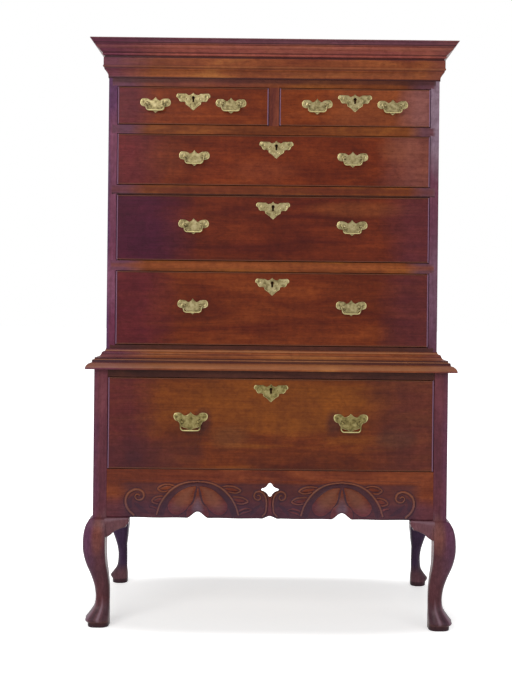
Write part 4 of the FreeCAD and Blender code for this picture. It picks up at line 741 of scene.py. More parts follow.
def leg_rings(heights, slim):
    """Rings of the cabriole leg and their relief, of the sizes that LEG_CURVE gives at a height:
    a smooth curve from the foot to the knee's top, straight lines in the foot and under the case.
    The toes move a ring by amount (3.4 toe - 1.9) on its outer side, where toe is the sum over
    the toes of e^-((turn - toe's own) / TOE_WIDE)^2."""
    table = np.array(LEG_CURVE, float)
    smooth = flow(table[FOOT_ROWS - 1:, 0], table[FOOT_ROWS - 1:, 1:], heights)
    straight = np.stack([np.interp(heights, table[:, 0], column) for column in table.T[1:]],
                        axis=1)
    pick = (heights < table[FOOT_ROWS - 1, 0]) | (heights > KNEE_TOP)
    out, back, corner, flank = np.where(pick[:, None], straight, smooth).T[:, :, None]
    back = back - slim * np.clip((SLIM_BELOW - heights) / SLIM_OVER, 0, 1)[:, None]
    ring = rounded_squares(out, back, corner, flank)
    middle = np.stack([(out - back) / 2, (back - out) / 2], axis=-1)
    arm = ring - middle
    length = np.linalg.norm(arm, axis=-1, keepdims=True)
    turned_by = np.arctan2(arm[..., 1], arm[..., 0]) + math.pi / 4
    toe = np.exp(-((turned_by[..., None] - TOES) / TOE_WIDE) ** 2).sum(axis=-1)
    front = np.cos(turned_by / 2) ** 2
    amount = np.interp(heights, TOE_HEIGHTS, TOE_AMOUNTS)
    ridge = amount[:, None] * front * (3.4 * toe - 1.9)
    ring = ring + arm / length * ridge[..., None]
    across, deep = ring[..., 0], -ring[..., 1]
    tall = np.broadcast_to(heights[:, None], across.shape)
    # Toe ridges are made lighter, a painted highlight, and the grooves between them darker,
    # painted shade.
    relief = np.clip(0.5 + 0.22 * ridge, 0, 1)
    relief = np.where(tall < PAD_HEIGHTS[1], np.interp(tall, PAD_HEIGHTS, PAD_TONES), relief)
    return np.stack([across, deep, tall], axis=-1), relief


def leg(name, side, end, slim):
    """A square post on a cabriole leg with a three-toed foot: rings by height, closer in the
    foot, and the uppermost ring carried on to the top of the stand."""
    heights = np.concatenate([[0, 0.6, 1.5, 7], np.linspace(13, 30, 15),
                              np.linspace(32, KNEE_TOP - 2, 120), np.linspace(KNEE_TOP, 314, 8),
                              [316, BASE_BOTTOM]])
    rings, relief = leg_rings(heights, slim)
    post_heights = np.append(np.linspace(BASE_BOTTOM + 2, BASE_TOP - 1.2, 40), BASE_TOP)
    post = np.repeat(rings[-1:], len(post_heights), axis=0)
    post[..., 2] = post_heights[:, None]
    rings = np.concatenate([rings, post])
    relief = np.concatenate([relief, np.full(post.shape[:2], 0.5)])
    make_piece(name + "_carved", [swept(corner_place(rings, side, end), relief)], "leg", "case",
               [name])


def knee_bracket(side, end, sideways):
    """A bracket beside the knee: rings of a rounded section along its length, each as deep as
    the face's outline and as proud as the plan's curve allows. The rings close up towards the
    tip, where their distance from it falls with the square of the way."""
    lower = outline(BRACKET_LOWER, closed=False)
    tip = BRACKET_LONG - BRACKET_TIP * (1 - np.linspace(0, 1, 14)) ** 2
    along = np.concatenate([np.linspace(BRACKET_START, BRACKET_LONG - BRACKET_TIP, 40), tip])
    bottom = np.interp(along, lower[:, 0], lower[:, 1])
    top = np.interp(along, *BRACKET_UPPER)
    proud = np.interp(along, *BRACKET_PROUD)
    radius = np.minimum(BRACKET_ROUND, 0.45 * (bottom - top))[:, None]
    turn = np.radians(np.linspace(0, 90, 9))[None, :]
    proud, bottom, top = proud[:, None], bottom[:, None], top[:, None]
    flat = np.zeros((len(along), 1))
    lip = np.minimum(LIP_TALL, 0.3 * (bottom - top))
    inner = BRACKET_THICK - BRACKET_EASE
    deep = np.concatenate([proud * np.array([LIP_OUT]),
                           proud - radius + radius * np.cos(turn),
                           flat - inner - BRACKET_EASE * np.sin(turn), flat - BRACKET_THICK],
                          axis=1)
    drop = np.concatenate([top + lip * np.array([LIP_DOWN]),
                           bottom - radius + radius * np.sin(turn),
                           bottom - BRACKET_EASE + BRACKET_EASE * np.cos(turn), top], axis=1)
    tone = np.full(deep.shape, 0.5)
    # The lip's rows are lighter than plain wood: a painted highlight.
    tone[:, :len(LIP_HIGHLIGHT_TONES)] = LIP_HIGHLIGHT_TONES
    run = np.broadcast_to(-(POST + along)[:, None], deep.shape)
    first, second = (deep, run) if sideways else (run, deep)
    rings = np.stack([first, second, BASE_BOTTOM - drop], axis=-1)
    return swept(corner_place(rings, side, end), tone)


def legs_and_brackets():
    """Four legs, and the six brackets as one piece."""
    shells = []
    for side, across in ((-1, "left"), (1, "right")):
        leg("leg_front_" + across, side, -1, 0.0)
        leg("leg_rear_" + across, side, 1, REAR_SLIM)
        shells += [knee_bracket(side, -1, False), knee_bracket(side, -1, True),
                   knee_bracket(side, 1, True)]
    make_piece("knee_brackets_shaped", shells, "leg", "case", ["knee_brackets"])


# ---------------------------------------------------------------------------------------------
# Mouldings
# ---------------------------------------------------------------------------------------------
# Rows of (out, up, bulge), then the tone of the corner itself and of the stretch that leaves it:
# 0 is a line of old polish and dirt with painted shade, 0.5 plain wood, 1 rubbed with a painted
# highlight.
WAIST_PROFILE = [
    (0, 0, 0, 0.3, 0.3), (53, 0, 0, 0.35, 0.42), (53, 3, 4, 0.5, 0.74), (36, 19, 0, 0.42, 0.3),
    (36, 20.5, 0, 0.1, 0.04), (35, 27, 0, 0.6, 0.95), (31.5, 28, 0, 1.0, 0.9),
    (29, 29, 0, 0.4, 0.05), (29, 33.5, -3, 0.4, 0.62), (12, 43, 2.5, 0.04, 0.44),
    (4, 51, 0, 0.7, 0.8), (1.5, 55, 0, 0.6, 0.3), (1.5, 58, 0, 0.1, 0.1), (0, 58, 0, 0.1, 0.1),
]
CORNICE_PROFILE = [
    (0, 0, 0, 0.0, 0.0), (2, 0, 0, 0.0, 0.0), (2, 3, -3, 0.1, 0.56), (12, 23, 0, 0.5, 0.4),
    (12.5, 26, 0, 0.1, 0.14), (12.5, 28, 0, 0.3, 0.62), (15.5, 30, 1, 0.66, 0.62),
    (14.5, 35, 0, 0.3, 0.46), (14.5, 57, 0, 0.3, 0.1), (11.5, 59, 0, 0.0, 0.0),
    (11.5, 63, 0, 0.1, 0.4), (15, 64, 1.8, 0.5, 0.5), (16, 70, 0, 0.1, 0.16),
    (19, 73, 0, 0.3, 0.46), (27, 81, 1.2, 0.56, 0.60), (35, 90, 0.8, 0.5, 0.34),
    (40, 94.5, 0, 0.0, 0.0),
    (41, 96, -1.2, 0.06, 0.4), (48.5, 105.5, 0, 0.6, 0.6), (49, 108, 0, 0.6, 0.4),
    (0, 108, 0, 0.4, 0.4),
]


# Steps of a profile's stretch and stations of its runs, and the crease angle of its edges.
PROFILE_STEPS = 10
FRONT_STEPS = 90
SIDE_STEPS = 44
MOULDING_CREASE = 24


def moulding(name, corners, low, seed):
    """A profile run along the front and both sides of the chest, mitred at its front corners:
    a point (out, up) of the front run is at x = t (half + out), y = face - out, for t in -1..1."""
    rows = np.asarray(corners, float)
    profile = outline(rows[:, :3], steps=PROFILE_STEPS)
    tone = np.repeat(rows[:, 4:], PROFILE_STEPS, axis=1)
    tone[:, 0] = rows[:, 3]
    out, up = profile[None, :, 0], profile[None, :, 1]
    relief = tone.reshape(1, -1)
    share = np.linspace(-1, 1, FRONT_STEPS)[:, None]
    # The faces that lie on the chest stay true; the others have the plane's unevenness.
    loose = (out > 0.5) * (up > 0.5)
    uneven = hand_wave(share * UPPER_HALF, seed) * loose
    front = np.stack([share * (UPPER_HALF + out), UPPER_FACE - out - uneven,
                      low + up + 0 * share], axis=-1)
    make_piece(name + "_front_run", [swept(front, relief)], "moulding", "case",
               [name + "_front"], crease=MOULDING_CREASE)
    back = np.linspace(0, 1, SIDE_STEPS)[:, None]
    start = UPPER_FACE - out
    depth = start + back * (BASE_BACK - start)
    shells = []
    for side in (-1, 1):
        uneven = hand_wave(depth, seed + side) * loose * back
        run = np.stack([side * (UPPER_HALF + out + uneven), depth, low + up + 0 * depth], axis=-1)
        shells.append(swept(run, relief))
    make_piece(name + "_side_runs", shells, "moulding_side", "case",
               [name + "_returns"], crease=MOULDING_CREASE)


# ---------------------------------------------------------------------------------------------
# Brasses
# ---------------------------------------------------------------------------------------------
# From a handle's middle to its posts, and from the front's face out to the bail's hinge.
POST_SPREAD = 23.0
PIVOT_OUT = 11.5
# From the top of a front down to its keyhole's middle, and from there up to the shield's.
KEY_DROP = 34.0
SHIELD_RISE = 2.0
# From a handle's middle up to where its plate's rings close.
PLATE_RISE = 1.0
# The keyhole: its round's radius and rise, and its slot's half width and depth.
KEY_ROUND = 4.0
KEY_RISE = 2.5
KEY_SLOT = 2.5
KEY_FOOT = 10.5
# Blocks behind a front, from the post's or the keyhole's place on its face, and their easing.
NUT = ((-5.5, 22, -5.5), (5.5, 26, 5.5), 0.8)
LOCK_CASE = ((-31, 11.2, -17), (31, 21.8, 31), 0.6)
# A bail's drop below its hinge and how far its arms lean in; the reach of every bail's pins.
STAND_BAIL = (25.0, 0.6)
CHEST_BAIL = (20.5, 2.6)
BAIL_REACH = 28.7
# The bend of its lower corners, and its wire's radius in the pins, at their outer ends and in
# the arms, with what the bar's middle adds.
BAIL_BEND = 8.5
PIN_RADIUS = 1.9
ELBOW_RADIUS = 2.3
WIRE_RADIUS = 2.2
BAR_SWELL = 0.45


def wings(half, rows):
    """A whole plate outline from the right half's (across, up, bulge) shares of its half width."""
    return mirrored_outline([(x * half, z * half, bulge * half) for x, z, bulge in rows])


BATWING = wings(50.0, [
    (0, -0.56, -0.02), (0.16, -0.42, 0), (0.44, -0.34, 0.03), (0.66, -0.10, -0.03),
    (0.80, 0.02, 0.04), (1.0, 0.26, 0.06), (0.86, 0.50, 0.02), (0.56, 0.49, -0.05),
    (0.30, 0.34, -0.04), (0, 0.56, 0)])
LOW_WINGS = wings(45.0, [
    (0, -0.60, 0), (0.20, -0.45, 0.02), (0.44, -0.37, -0.02), (0.62, -0.20, 0.02),
    (0.90, -0.13, 0.03), (1.0, 0.07, 0.04), (0.86, 0.33, 0.02), (0.50, 0.32, -0.03),
    (0.28, 0.20, -0.03), (0, 0.44, 0)])
SHIELD = wings(49.5, [
    (0, -0.68, 0), (0.12, -0.58, -0.02), (0.40, -0.36, 0.03), (0.46, -0.20, -0.02),
    (0.72, -0.17, 0.03), (0.86, -0.02, -0.02), (1.0, 0.10, 0.05), (0.90, 0.33, 0),
    (0.44, 0.32, -0.04), (0.24, 0.24, -0.03), (0, 0.39, 0)])
# The scrolls chased in the wings: (across, up, radius of the ring round a dished eye).
BATWING_EYES = [(39.5, 13.0, 6.6), (26.0, 4.0, 3.6)]
LOW_EYES = [(34.0, 4.2, 5.6), (21.5, 1.0, 3.2)]
SHIELD_EYES = [(38.0, 7.0, 5.0), (19.0, 0.0, 3.4), (7.5, -17.0, 3.0)]


def keyhole_reach(angle):
    """How far the keyhole's edge is from its middle in each direction: a round over a slot."""
    across, up = np.cos(angle), np.sin(angle)
    round_part = KEY_RISE * up + np.sqrt(np.maximum(KEY_ROUND ** 2 - (KEY_RISE * across) ** 2, 0))
    slot = np.minimum(KEY_SLOT / np.maximum(np.abs(across), 1e-6),
                      KEY_FOOT / np.maximum(-up, 1e-6))
    return np.maximum(round_part, np.where(up < 0, slot, 0))


def chased_plate(edge, middle, eyes, inner=None):
    """A thin plate, as rings from its rim in, face at y = -thickness: a bevel and a chased line
    along the rim, and eyes, each sunk by 0.9 e^-(d/0.62r)^2 with a rim 0.45 e^-((d-r)/0.3r)^2
    high at distance r from its middle. Where inner is given, the rings end at that outline.
    The first rings' heights and tones are given one by one, and even steps lead to the last."""
    edge = edge - middle
    inner = np.zeros_like(edge) if inner is None else inner
    share = np.concatenate([[1.0, 1.0, 0.985, 0.96, 0.93, 0.91, 0.89],
                            np.linspace(0.86, 0.04, 26)])
    rows = np.arange(len(share))
    given = [0, 1, 2, 3, 4, 5, 6, 7, rows[-1]]
    lift = np.interp(rows, given, [0.0, 0.7, 1.2, 1.5, 1.5, 1.2, 1.5, 1.55, 1.85])
    mark = np.interp(rows, given, [0.3, 0.6, 0.85, 0.9, 0.6, 0.16, 0.5, 0.5, 0.55])
    flat = inner[None] + share[:, None, None] * (edge - inner)[None] + middle
    high, tone = (np.broadcast_to(column[:, None], flat.shape[:2]).copy()
                  for column in (lift, mark))
    inside = np.clip((lift - 1.0) / 0.5, 0, 1)[:, None]
    for across, up, radius in eyes:
        away = np.hypot(np.abs(flat[..., 0]) - across, flat[..., 1] - up)
        dish = np.exp(-(away / (0.62 * radius)) ** 2)
        rim = np.exp(-((away - radius) / (0.3 * radius)) ** 2)
        high += inside * (0.45 * rim - 0.9 * dish)
        tone += inside * (0.2 * rim - 0.5 * dish)
    tone = np.clip(tone, 0.08, 1)
    rings = np.stack([flat[..., 0], -high, flat[..., 1]], axis=-1)
    if inner.any():
        wall = rings[-1].copy()
        wall[:, 1] = 0.0
        loop = np.concatenate([rings, wall[None]])
        faces = [grid_faces(len(loop), loop.shape[1], round_rows=True, round_columns=True)]
        # The keyhole's wall has relief 0, painted near black as shade.
        relief = np.concatenate([tone, np.zeros((1, tone.shape[1]))])
        return loop.reshape(-1, 3), faces, relief.reshape(-1)
    return swept(rings, tone)


def handle_post():
    """A turned post: shank through the front, collar, baluster neck and the eye for the bail."""
    stem = turned([(28.0, 1.9), (27.6, 2.5), (-1.5, 2.5), (-1.5, 4.3), (-2.0, 4.6), (-3.4, 4.5),
                   (-4.0, 3.6), (-4.6, 2.7), (-6.0, 2.3), (-7.6, 2.6), (-8.6, 3.4), (-10.0, 3.6),
                   (-11.0, 3.0)])
    bulge = [(2.2 * math.sin(angle) + math.copysign(0.8, angle), 3.4 + 1.1 * math.cos(angle))
             for angle in np.radians(np.linspace(-90, 90, 9))]
    eye = turned([(-3, 2.0)] + bulge + [(3, 2.0)], axis="x")
    return [stem, placed(eye, (0, -PIVOT_OUT, 0))]


def bail(drop, slant):
    """A swinging bail of round wire: pins, arms that lean in by slant, and a bar that swells in
    the middle by BAR_SWELL e^-(across / 11)^2 and hangs drop below the pins."""
    start = BAIL_REACH - slant - BAIL_BEND
    quarter = np.radians(np.linspace(0, 90, 10))
    arm = [(19.6, 0.0), (24.0, 0.0), (27.0, 0.0), (28.3, -0.5), (BAIL_REACH, -2.2),
           (BAIL_REACH - 0.35 * slant, -0.30 * drop)]
    corner = np.stack([start + BAIL_BEND * np.cos(quarter),
                       BAIL_BEND - drop - BAIL_BEND * np.sin(quarter)], axis=1)
    bar = np.stack([np.linspace(start, 0, 14)[1:], np.full(13, -drop)], axis=1)
    right = np.vstack([arm, corner, bar])
    line = np.vstack([right, (right * [-1, 1])[-2::-1]])
    run = np.gradient(line, axis=0)
    run /= np.linalg.norm(run, axis=1, keepdims=True)
    side = np.stack([run[:, 1], -run[:, 0]], axis=1)
    pins = np.where(np.abs(line[:, 0]) < 27.5, PIN_RADIUS, ELBOW_RADIUS)
    bar_and_arms = WIRE_RADIUS + BAR_SWELL * np.exp(-(line[:, 0] / 11) ** 2)
    swell = np.where(line[:, 1] < -5, bar_and_arms, pins)
    turn = np.linspace(0, 2 * math.pi, 20, endpoint=False)
    flat = side[:, None] * np.cos(turn)[None, :, None] * swell[:, None, None] + line[:, None]
    deep = np.sin(turn)[None, :] * swell[:, None]
    low = np.clip((-line[:, 1] - 0.5 * drop) / (0.5 * drop), 0, 1)[:, None]
    tone = 0.5 + 0.45 * low * np.clip(-np.sin(turn)[None, :], 0, 1)
    return swept(np.stack([flat[..., 0], deep, flat[..., 1]], axis=-1), tone)


def escutcheon_and_lock(key):
    """The pierced shield with its keyhole at key, and the lock case behind the front, at relief 0
    so that it is painted near black as shade in the keyhole.
    """
    edge = outline(SHIELD)
    middle = np.array([0.0, SHIELD_RISE])
    angle = np.arctan2(*(edge - middle).T[::-1])
    hole = keyhole_reach(angle)[:, None] * np.stack([np.cos(angle), np.sin(angle)], axis=1)
    points, faces, relief = placed(eased_box(*LOCK_CASE), key)
    # The lock case gets relief 0, painted near black as shade seen through the keyhole.
    return [placed(chased_plate(edge, middle, SHIELD_EYES, hole), key),
            (points, faces, relief * 0)]


def drawer_brasses(drawer):
    """All the fixed brass of one drawer, and its two bails, where their hinges are."""
    hinges = [(joint["child"], np.array(joint["pos_m"]) / MM) for joint in frame["joints"]
              if joint["name"].startswith(drawer + "_bail")]
    on_stand = drawer == "drawer_base"
    shape, eyes = (BATWING, BATWING_EYES) if on_stand else (LOW_WINGS, LOW_EYES)
    plate = chased_plate(outline(shape), np.array([0.0, PLATE_RISE]), eyes)
    post_and_nut = handle_post() + [eased_box(*NUT)]
    face = hinges[0][1][1] + PIVOT_OUT
    shells = []
    for _, pivot in hinges:
        spot = np.array([pivot[0], face, pivot[2]])
        shells.append(placed(plate, spot))
        for across in (-POST_SPREAD, POST_SPREAD):
            shells += [placed(part, spot + np.array([across, 0, 0])) for part in post_and_nut]
    bolt_low, bolt_high = (np.array(corner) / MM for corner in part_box(drawer + "_bolt"))
    front_high = np.array(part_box(drawer + "_front")[1]) / MM
    key = np.array([(bolt_low[0] + bolt_high[0]) / 2, face, front_high[2] - KEY_DROP])
    shells += escutcheon_and_lock(key)
    finish = "dull_brass" if on_stand else "brass"
    make_piece(drawer + "_mounts", shells, finish, drawer, [drawer + "_brasses"])
    hung = bail(*(STAND_BAIL if on_stand else CHEST_BAIL))
    for body, pivot in hinges:
        make_piece(body + "_wire", [placed(hung, pivot)], finish, body, [body])


# ---------------------------------------------------------------------------------------------
# Carved apron: a height field over (across, height above its lower edge)
# ---------------------------------------------------------------------------------------------
APRON_HALF = 475.0
APRON_TALL = 142.0
APRON_THICK = 22.0
APRON_CREASE = 60
# The notch in either half, and the smaller one in the middle: place, half width and height.
NOTCH_AT = 210.0
NOTCH_HALF = 33
NOTCH_TALL = 18.5
MIDDLE_HALF = 24
MIDDLE_TALL = 8.5
# The sunk ground: its depth, where it begins beside the middle, its top and its far end, and how
# far it fades at the first two and at the end.
GROUND_DEEP = 3.4
GROUND_START = 4
GROUND_TOP = 108
GROUND_END = 448
GROUND_FADE = 10
GROUND_END_FADE = 36
# A line cut above it: its height, its start and end from the middle, and its depth.
LINE_AT = 112
LINE_START = 30
LINE_END = 440
LINE_DEEP = 0.6
# The rounding of the board's lower edge: how far up its face, and how far back.
EDGE_ROUND = 6
EDGE_DROP = 2.6
# The pierced star: its middle's height, the reach of the columns set closer for it, its outline.
STAR_AT = 84.0
STAR_REACH = 26.0
STAR = [(-5, -17.6, 4.4), (5, -17.6, -2), (21.6, -5, 4.4), (21.6, 5, -2), (7, 15, 6),
        (-7, 15, -2), (-21.6, 5, 4.4), (-21.6, -5, -2)]

# Strokes of the carver's gouge: (points, half widths from start to end, height of the crown, how
# far its sides fall, depth of the cut beside it, tone of its crown). Those of the arch stand on
# both sides of the notch; those of the leaves are measured outwards from the notch, and those of
# the scrolls from the middle of the apron.
# Raised strokes have light crowns, rubbed wood with painted highlights; sunk strokes have dark
# ones, painted shade.
ARCH_STROKES = [
    ([(62, 34), (52, 47), (39, 63), (24, 80), (13, 90)], (25, 30, 27, 17, 8), -0.3, 1.8, 3.0,
     0.62),
    ([(0, 86), (0, 62), (0, 45), (0, 30), (0, 12)], (1.8, 5, 10, 18, 33), -2.4, -0.8, 0.6, 0.44),
    ([(105, 10), (96, 36), (85, 55), (60, 80), (33, 94), (0, 99)], (6.6, 6.8, 6.6, 5.6, 5.0),
     -5.6, -1.8, 0.0, 0.10),
    ([(119, 11), (110, 38), (97, 60), (68, 89), (37, 103), (0, 108)], (2.8, 3.2, 3.2, 2.6, 2.2),
     0.0, 2.2, 2.6, 0.76),
]
LEAF_STROKES = [
    ([(-72, 87), (-96, 86), (-118, 82)], (2.0, 7.0, 3.0), -1.0, 1.6, 0.0, 0.52),
    ([(-100, 56), (-122, 54), (-138, 50)], (2.0, 8.0, 3.0), -1.2, 1.6, 0.0, 0.50),
    ([(-66, 91), (-92, 95), (-112, 91), (-125, 81), (-113, 75), (-98, 76), (-84, 80)],
     (2.2, 3.0, 2.8, 2.0), 0.0, 2.0, 3.2, 0.70),
    ([(-97, 63), (-118, 63), (-136, 59), (-146, 50), (-134, 44), (-116, 44), (-106, 47)],
     (2.2, 3.0, 2.8, 2.0), -0.2, 2.0, 3.2, 0.68),
    ([(-114, 17), (-128, 26), (-144, 30), (-158, 27)], (2.6, 3.4, 2.6, 1.2), -0.6, 2.0, 3.0, 0.60),
    ([(-120, 10), (-134, 17), (-148, 21), (-158, 26)], (2.0, 2.6, 2.0, 1.0), -1.0, 2.0, 2.4, 0.52),
    ([(68, 88), (90, 88), (110, 85)], (2.0, 6.5, 3.0), -1.0, 1.6, 0.0, 0.50),
    ([(98, 54), (114, 52), (128, 49)], (2.0, 7.0, 3.0), -1.2, 1.6, 0.0, 0.48),
    ([(64, 92), (84, 98), (104, 95), (116, 85), (106, 77), (93, 77), (82, 81)],
     (2.2, 3.0, 2.8, 2.0), 0.0, 2.0, 3.2, 0.68),
    ([(97, 63), (112, 63), (126, 58), (133, 48), (122, 42), (112, 42), (106, 46)],
     (2.2, 3.0, 2.8, 2.0), -0.2, 2.0, 3.2, 0.66),
    ([(112, 20), (123, 30), (137, 33)], (2.4, 3.2, 1.6), -0.8, 2.0, 3.0, 0.56),
]
SCROLL_STROKES = [
    ([(56, 10), (44, 26), (27, 40)], (2.0, 6.5, 2.5), -4.6, -1.0, 0.0, 0.10),
    ([(20, 34), (24, 48), (32, 52)], (3.0, 6.0, 3.0), -4.0, -1.0, 0.0, 0.12),
    ([(21, 8), (13, 17), (10, 33), (9.5, 50), (13, 65), (21, 76), (32, 80), (42, 76), (46, 67),
      (42, 58), (33, 55), (27, 61), (30, 68), (36, 68)], (3.0, 3.2, 3.2, 2.8, 2.2), 0.2, 2.2, 3.6,
     0.72),
    ([(352, 12), (372, 24), (392, 42)], (2.0, 7.0, 3.0), -4.6, -1.0, 0.0, 0.12),
    ([(404, 30), (408, 48), (400, 60)], (3.0, 7.0, 3.0), -4.0, -1.0, 0.0, 0.12),
    ([(396, 8), (413, 26), (420, 47), (414, 68), (399, 80), (382, 82), (369, 73), (367, 61),
      (376, 52), (388, 54), (392, 63), (386, 69), (379, 65)], (4.0, 4.0, 3.8, 3.2, 2.2), 0.3, 2.3,
     3.8, 0.74),
]


# Steps along a stroke, the width and reach of the cut beside it, the cut's tone, near black as
# dirt with painted shade, and the tone that a stroke's sides fall towards.
STROKE_STEPS = 70
CUT_WIDE = 1.6
CUT_REACH = 4.0
CUT_SHADE_TONE = 0.02
SIDE_TONE = 0.46


def gouge(height, tone, across, up, strokes):
    """Adds strokes to a height field. On a stroke, where q is the distance from its middle line
    over its half width, h = crown - fall q^2. Beside it, at distance d from its edge, runs a cut
    of depth e^-(d / CUT_WIDE)^2, which ends at CUT_REACH."""
    for points, widths, crown, fall, depth, shade in strokes:
        line = path_through(points, STROKE_STEPS)
        half = np.interp(np.linspace(0, 1, STROKE_STEPS), np.linspace(0, 1, len(widths)), widths)
        low, high = line.min(axis=0) - max(widths) - 5, line.max(axis=0) + max(widths) + 5
        near = (across > low[0]) & (across < high[0]) & (up > low[1]) & (up < high[1])
        gap = np.hypot(across[near][:, None] - line[:, 0], up[near][:, None] - line[:, 1])
        k = (gap - half).argmin(axis=1)
        gap, wide = gap[np.arange(len(k)), k], half[k]
        q = gap / wide
        fade = np.clip((gap - wide) / CUT_REACH, 0, 1)
        cut = -depth * np.exp(-(np.maximum(gap - wide, 0) / CUT_WIDE) ** 2)
        old = height[near]
        beside = np.where(fade < 1, np.minimum(old, cut * (1 - fade) + old * fade), old)
        height[near] = np.where(q < 1, crown - fall * q ** 2, beside)
        old = tone[near]
        darker = np.minimum(old, old * fade + CUT_SHADE_TONE * (1 - fade)) if depth else old
        tone[near] = np.where(q < 1, shade - max(shade - SIDE_TONE, 0) * 0.8 * q ** 2, darker)


def carve(across, up, bottom):
    """The height field of the carving and its relief. The ground is sunk by GROUND_DEEP
    field^1.5, where field is 1 inside and fades out at its limits; strokes, a cut line, the
    rounded lower edge and the ground's fine tool marks are laid over it in that order."""
    field = (np.clip((GROUND_TOP - up) / GROUND_FADE, 0, 1)
             * np.clip((across - GROUND_START) / GROUND_FADE, 0, 1)
             * np.clip((GROUND_END - across) / GROUND_END_FADE, 0, 1))
    height = -GROUND_DEEP * field ** 1.5
    # The sunk ground is darker, as dirt with painted shade.
    tone = 0.5 - 0.26 * field
    gouge(height, tone, across - NOTCH_AT, up, LEAF_STROKES)
    gouge(height, tone, across, up, SCROLL_STROKES)
    gouge(height, tone, np.abs(across - NOTCH_AT), up, ARCH_STROKES)
    line = (np.exp(-(up - LINE_AT - 1.2 * np.sin(across / 40)) ** 2)
            * (across < LINE_END) * (across > LINE_START))
    height -= LINE_DEEP * line
    over_edge = np.clip((up - bottom) / EDGE_ROUND, 0, 1)
    height -= EDGE_DROP * (1 - over_edge) ** 2
    grain = 0.10 * np.sin(up / 2.3 + across / 37) + 0.08 * np.sin(across / 3.1)
    height += grain * field
    # The tone falls towards the rounded lower edge, as painted shade, and in the cut line.
    return height, np.clip(tone * (0.72 + 0.28 * over_edge) - 0.15 * line, 0, 1)


def apron():
    """The carved board: one surface in front, cut by the piercing, on a plain back. Its columns
    run from the lower edge, which each notch lifts by tall (1 + cos(pi d / half)) / 2 at
    distance d from its middle, up to the star, and from the star to the top."""
    edge = outline(STAR, steps=14)
    right = edge[edge[:, 0] >= -1e-6]
    low_side, high_side = right[right[:, 1] < 0], right[right[:, 1] >= 0]
    low_side, high_side = (part[np.argsort(part[:, 0])] for part in (low_side, high_side))
    inside = np.linspace(0, STAR_REACH, 24)
    columns = np.concatenate([inside, np.linspace(STAR_REACH, APRON_HALF, 336)[1:]])
    columns = np.concatenate([-columns[:0:-1], columns])
    x = np.abs(columns)
    star_low, star_high = (STAR_AT + np.interp(x, np.append(part[:, 0], STAR_REACH),
                                               np.append(part[:, 1], 0))
                           for part in (low_side, high_side))
    beside = np.abs(x - NOTCH_AT)
    bottom = (NOTCH_TALL * (0.5 + 0.5 * np.cos(math.pi * np.clip(beside / NOTCH_HALF, 0, 1)))
              + MIDDLE_TALL * (0.5 + 0.5 * np.cos(math.pi * np.clip(x / MIDDLE_HALF, 0, 1)))
              + 0.5 * np.sin(x / 19) * (x > MIDDLE_HALF + 6) * (beside > NOTCH_HALF + 2))
    share = np.linspace(0, 1, 74)[:, None]
    lower = bottom + share * (star_low - bottom)
    rise = np.concatenate([np.linspace(0, 0.52, 27), np.linspace(0.6, 1, 6)])[:, None]
    upper = star_high + rise * (APRON_TALL - star_high)
    up = np.vstack([lower, upper])
    height, relief = carve(np.broadcast_to(x, up.shape), up, bottom)

    rows, wide = up.shape
    front = np.stack([np.broadcast_to(columns, up.shape), BASE_FACE - height, BASE_BOTTOM + up],
                     axis=-1)
    keep_rows = np.array([0, len(share) - 1, len(share), rows - 1])
    back = front[keep_rows].copy()
    back[..., 1] = BASE_FACE + APRON_THICK
    points = np.concatenate([front, back]).reshape(-1, 3)
    number = np.arange((rows + 4) * wide).reshape(rows + 4, wide)
    shut = x >= STAR_REACH - 1e-6
    number[len(share), shut] = number[len(share) - 1, shut]
    number[rows + 2, shut] = number[rows + 1, shut]

    def band(first, second):
        """Quads between two rows of point numbers, leaving out those that are shut."""
        quads = np.stack([first[:-1], first[1:], second[1:], second[:-1]], axis=-1)
        return quads[(quads[:, 0] != quads[:, 3]) & (quads[:, 1] != quads[:, 2])]

    split = len(share)
    faces = [band(number[k], number[k + 1]) for k in range(rows - 1) if k != split - 1]
    faces += [band(number[rows], number[rows + 1]), band(number[rows + 2], number[rows + 3]),
              band(number[0], number[rows]), band(number[rows - 1], number[rows + 3])]
    mouth = slice(np.argmax(~shut) - 1, wide - np.argmax(~shut[::-1]) + 1)
    faces += [band(number[split - 1, mouth], number[rows + 1, mouth]),
              band(number[split, mouth], number[rows + 2, mouth])]
    for side in (0, -1):
        rim = np.concatenate([number[:split, side], number[split + 1:rows, side],
                              number[[rows + 3, rows + 1, rows], side]])
        faces.append(rim[None, :])
    marks = np.concatenate([relief, np.full((4, wide), 0.5)]).reshape(-1)
    used = np.unique(np.concatenate([f.reshape(-1) for f in faces]))
    fresh = np.full(len(points), -1)
    fresh[used] = np.arange(len(used))
    make_piece("apron_carved", [(points[used], [fresh[f] for f in faces], marks[used])],
               "carving", "case", ["apron"], crease=APRON_CREASE)


# ---------------------------------------------------------------------------------------------
# Floor, light and camera
# ---------------------------------------------------------------------------------------------
# The floor's half width in metres, and the grey pool on it under the stand: the scale of the
# pool's outline, where it starts to fade and where it ends, and how white it is inside. The floor
# glows less in the pool, so the real shadow shows only there: the pool paints the shadow's
# outline.
FLOOR_HALF = 30.0
POOL_SCALE = (1.85, 3.4, 1.0)
POOL_EDGE = (0.75, 1.7)
POOL_TONE = 0.40
# The camera: lens in millimetres, shifts of its picture, place in metres and roll in degrees.
LENS = 53.6
SHIFT = (-0.0231, -0.0667)
EYE = (0.0, -3.2508, 0.955)
ROLL = -0.63


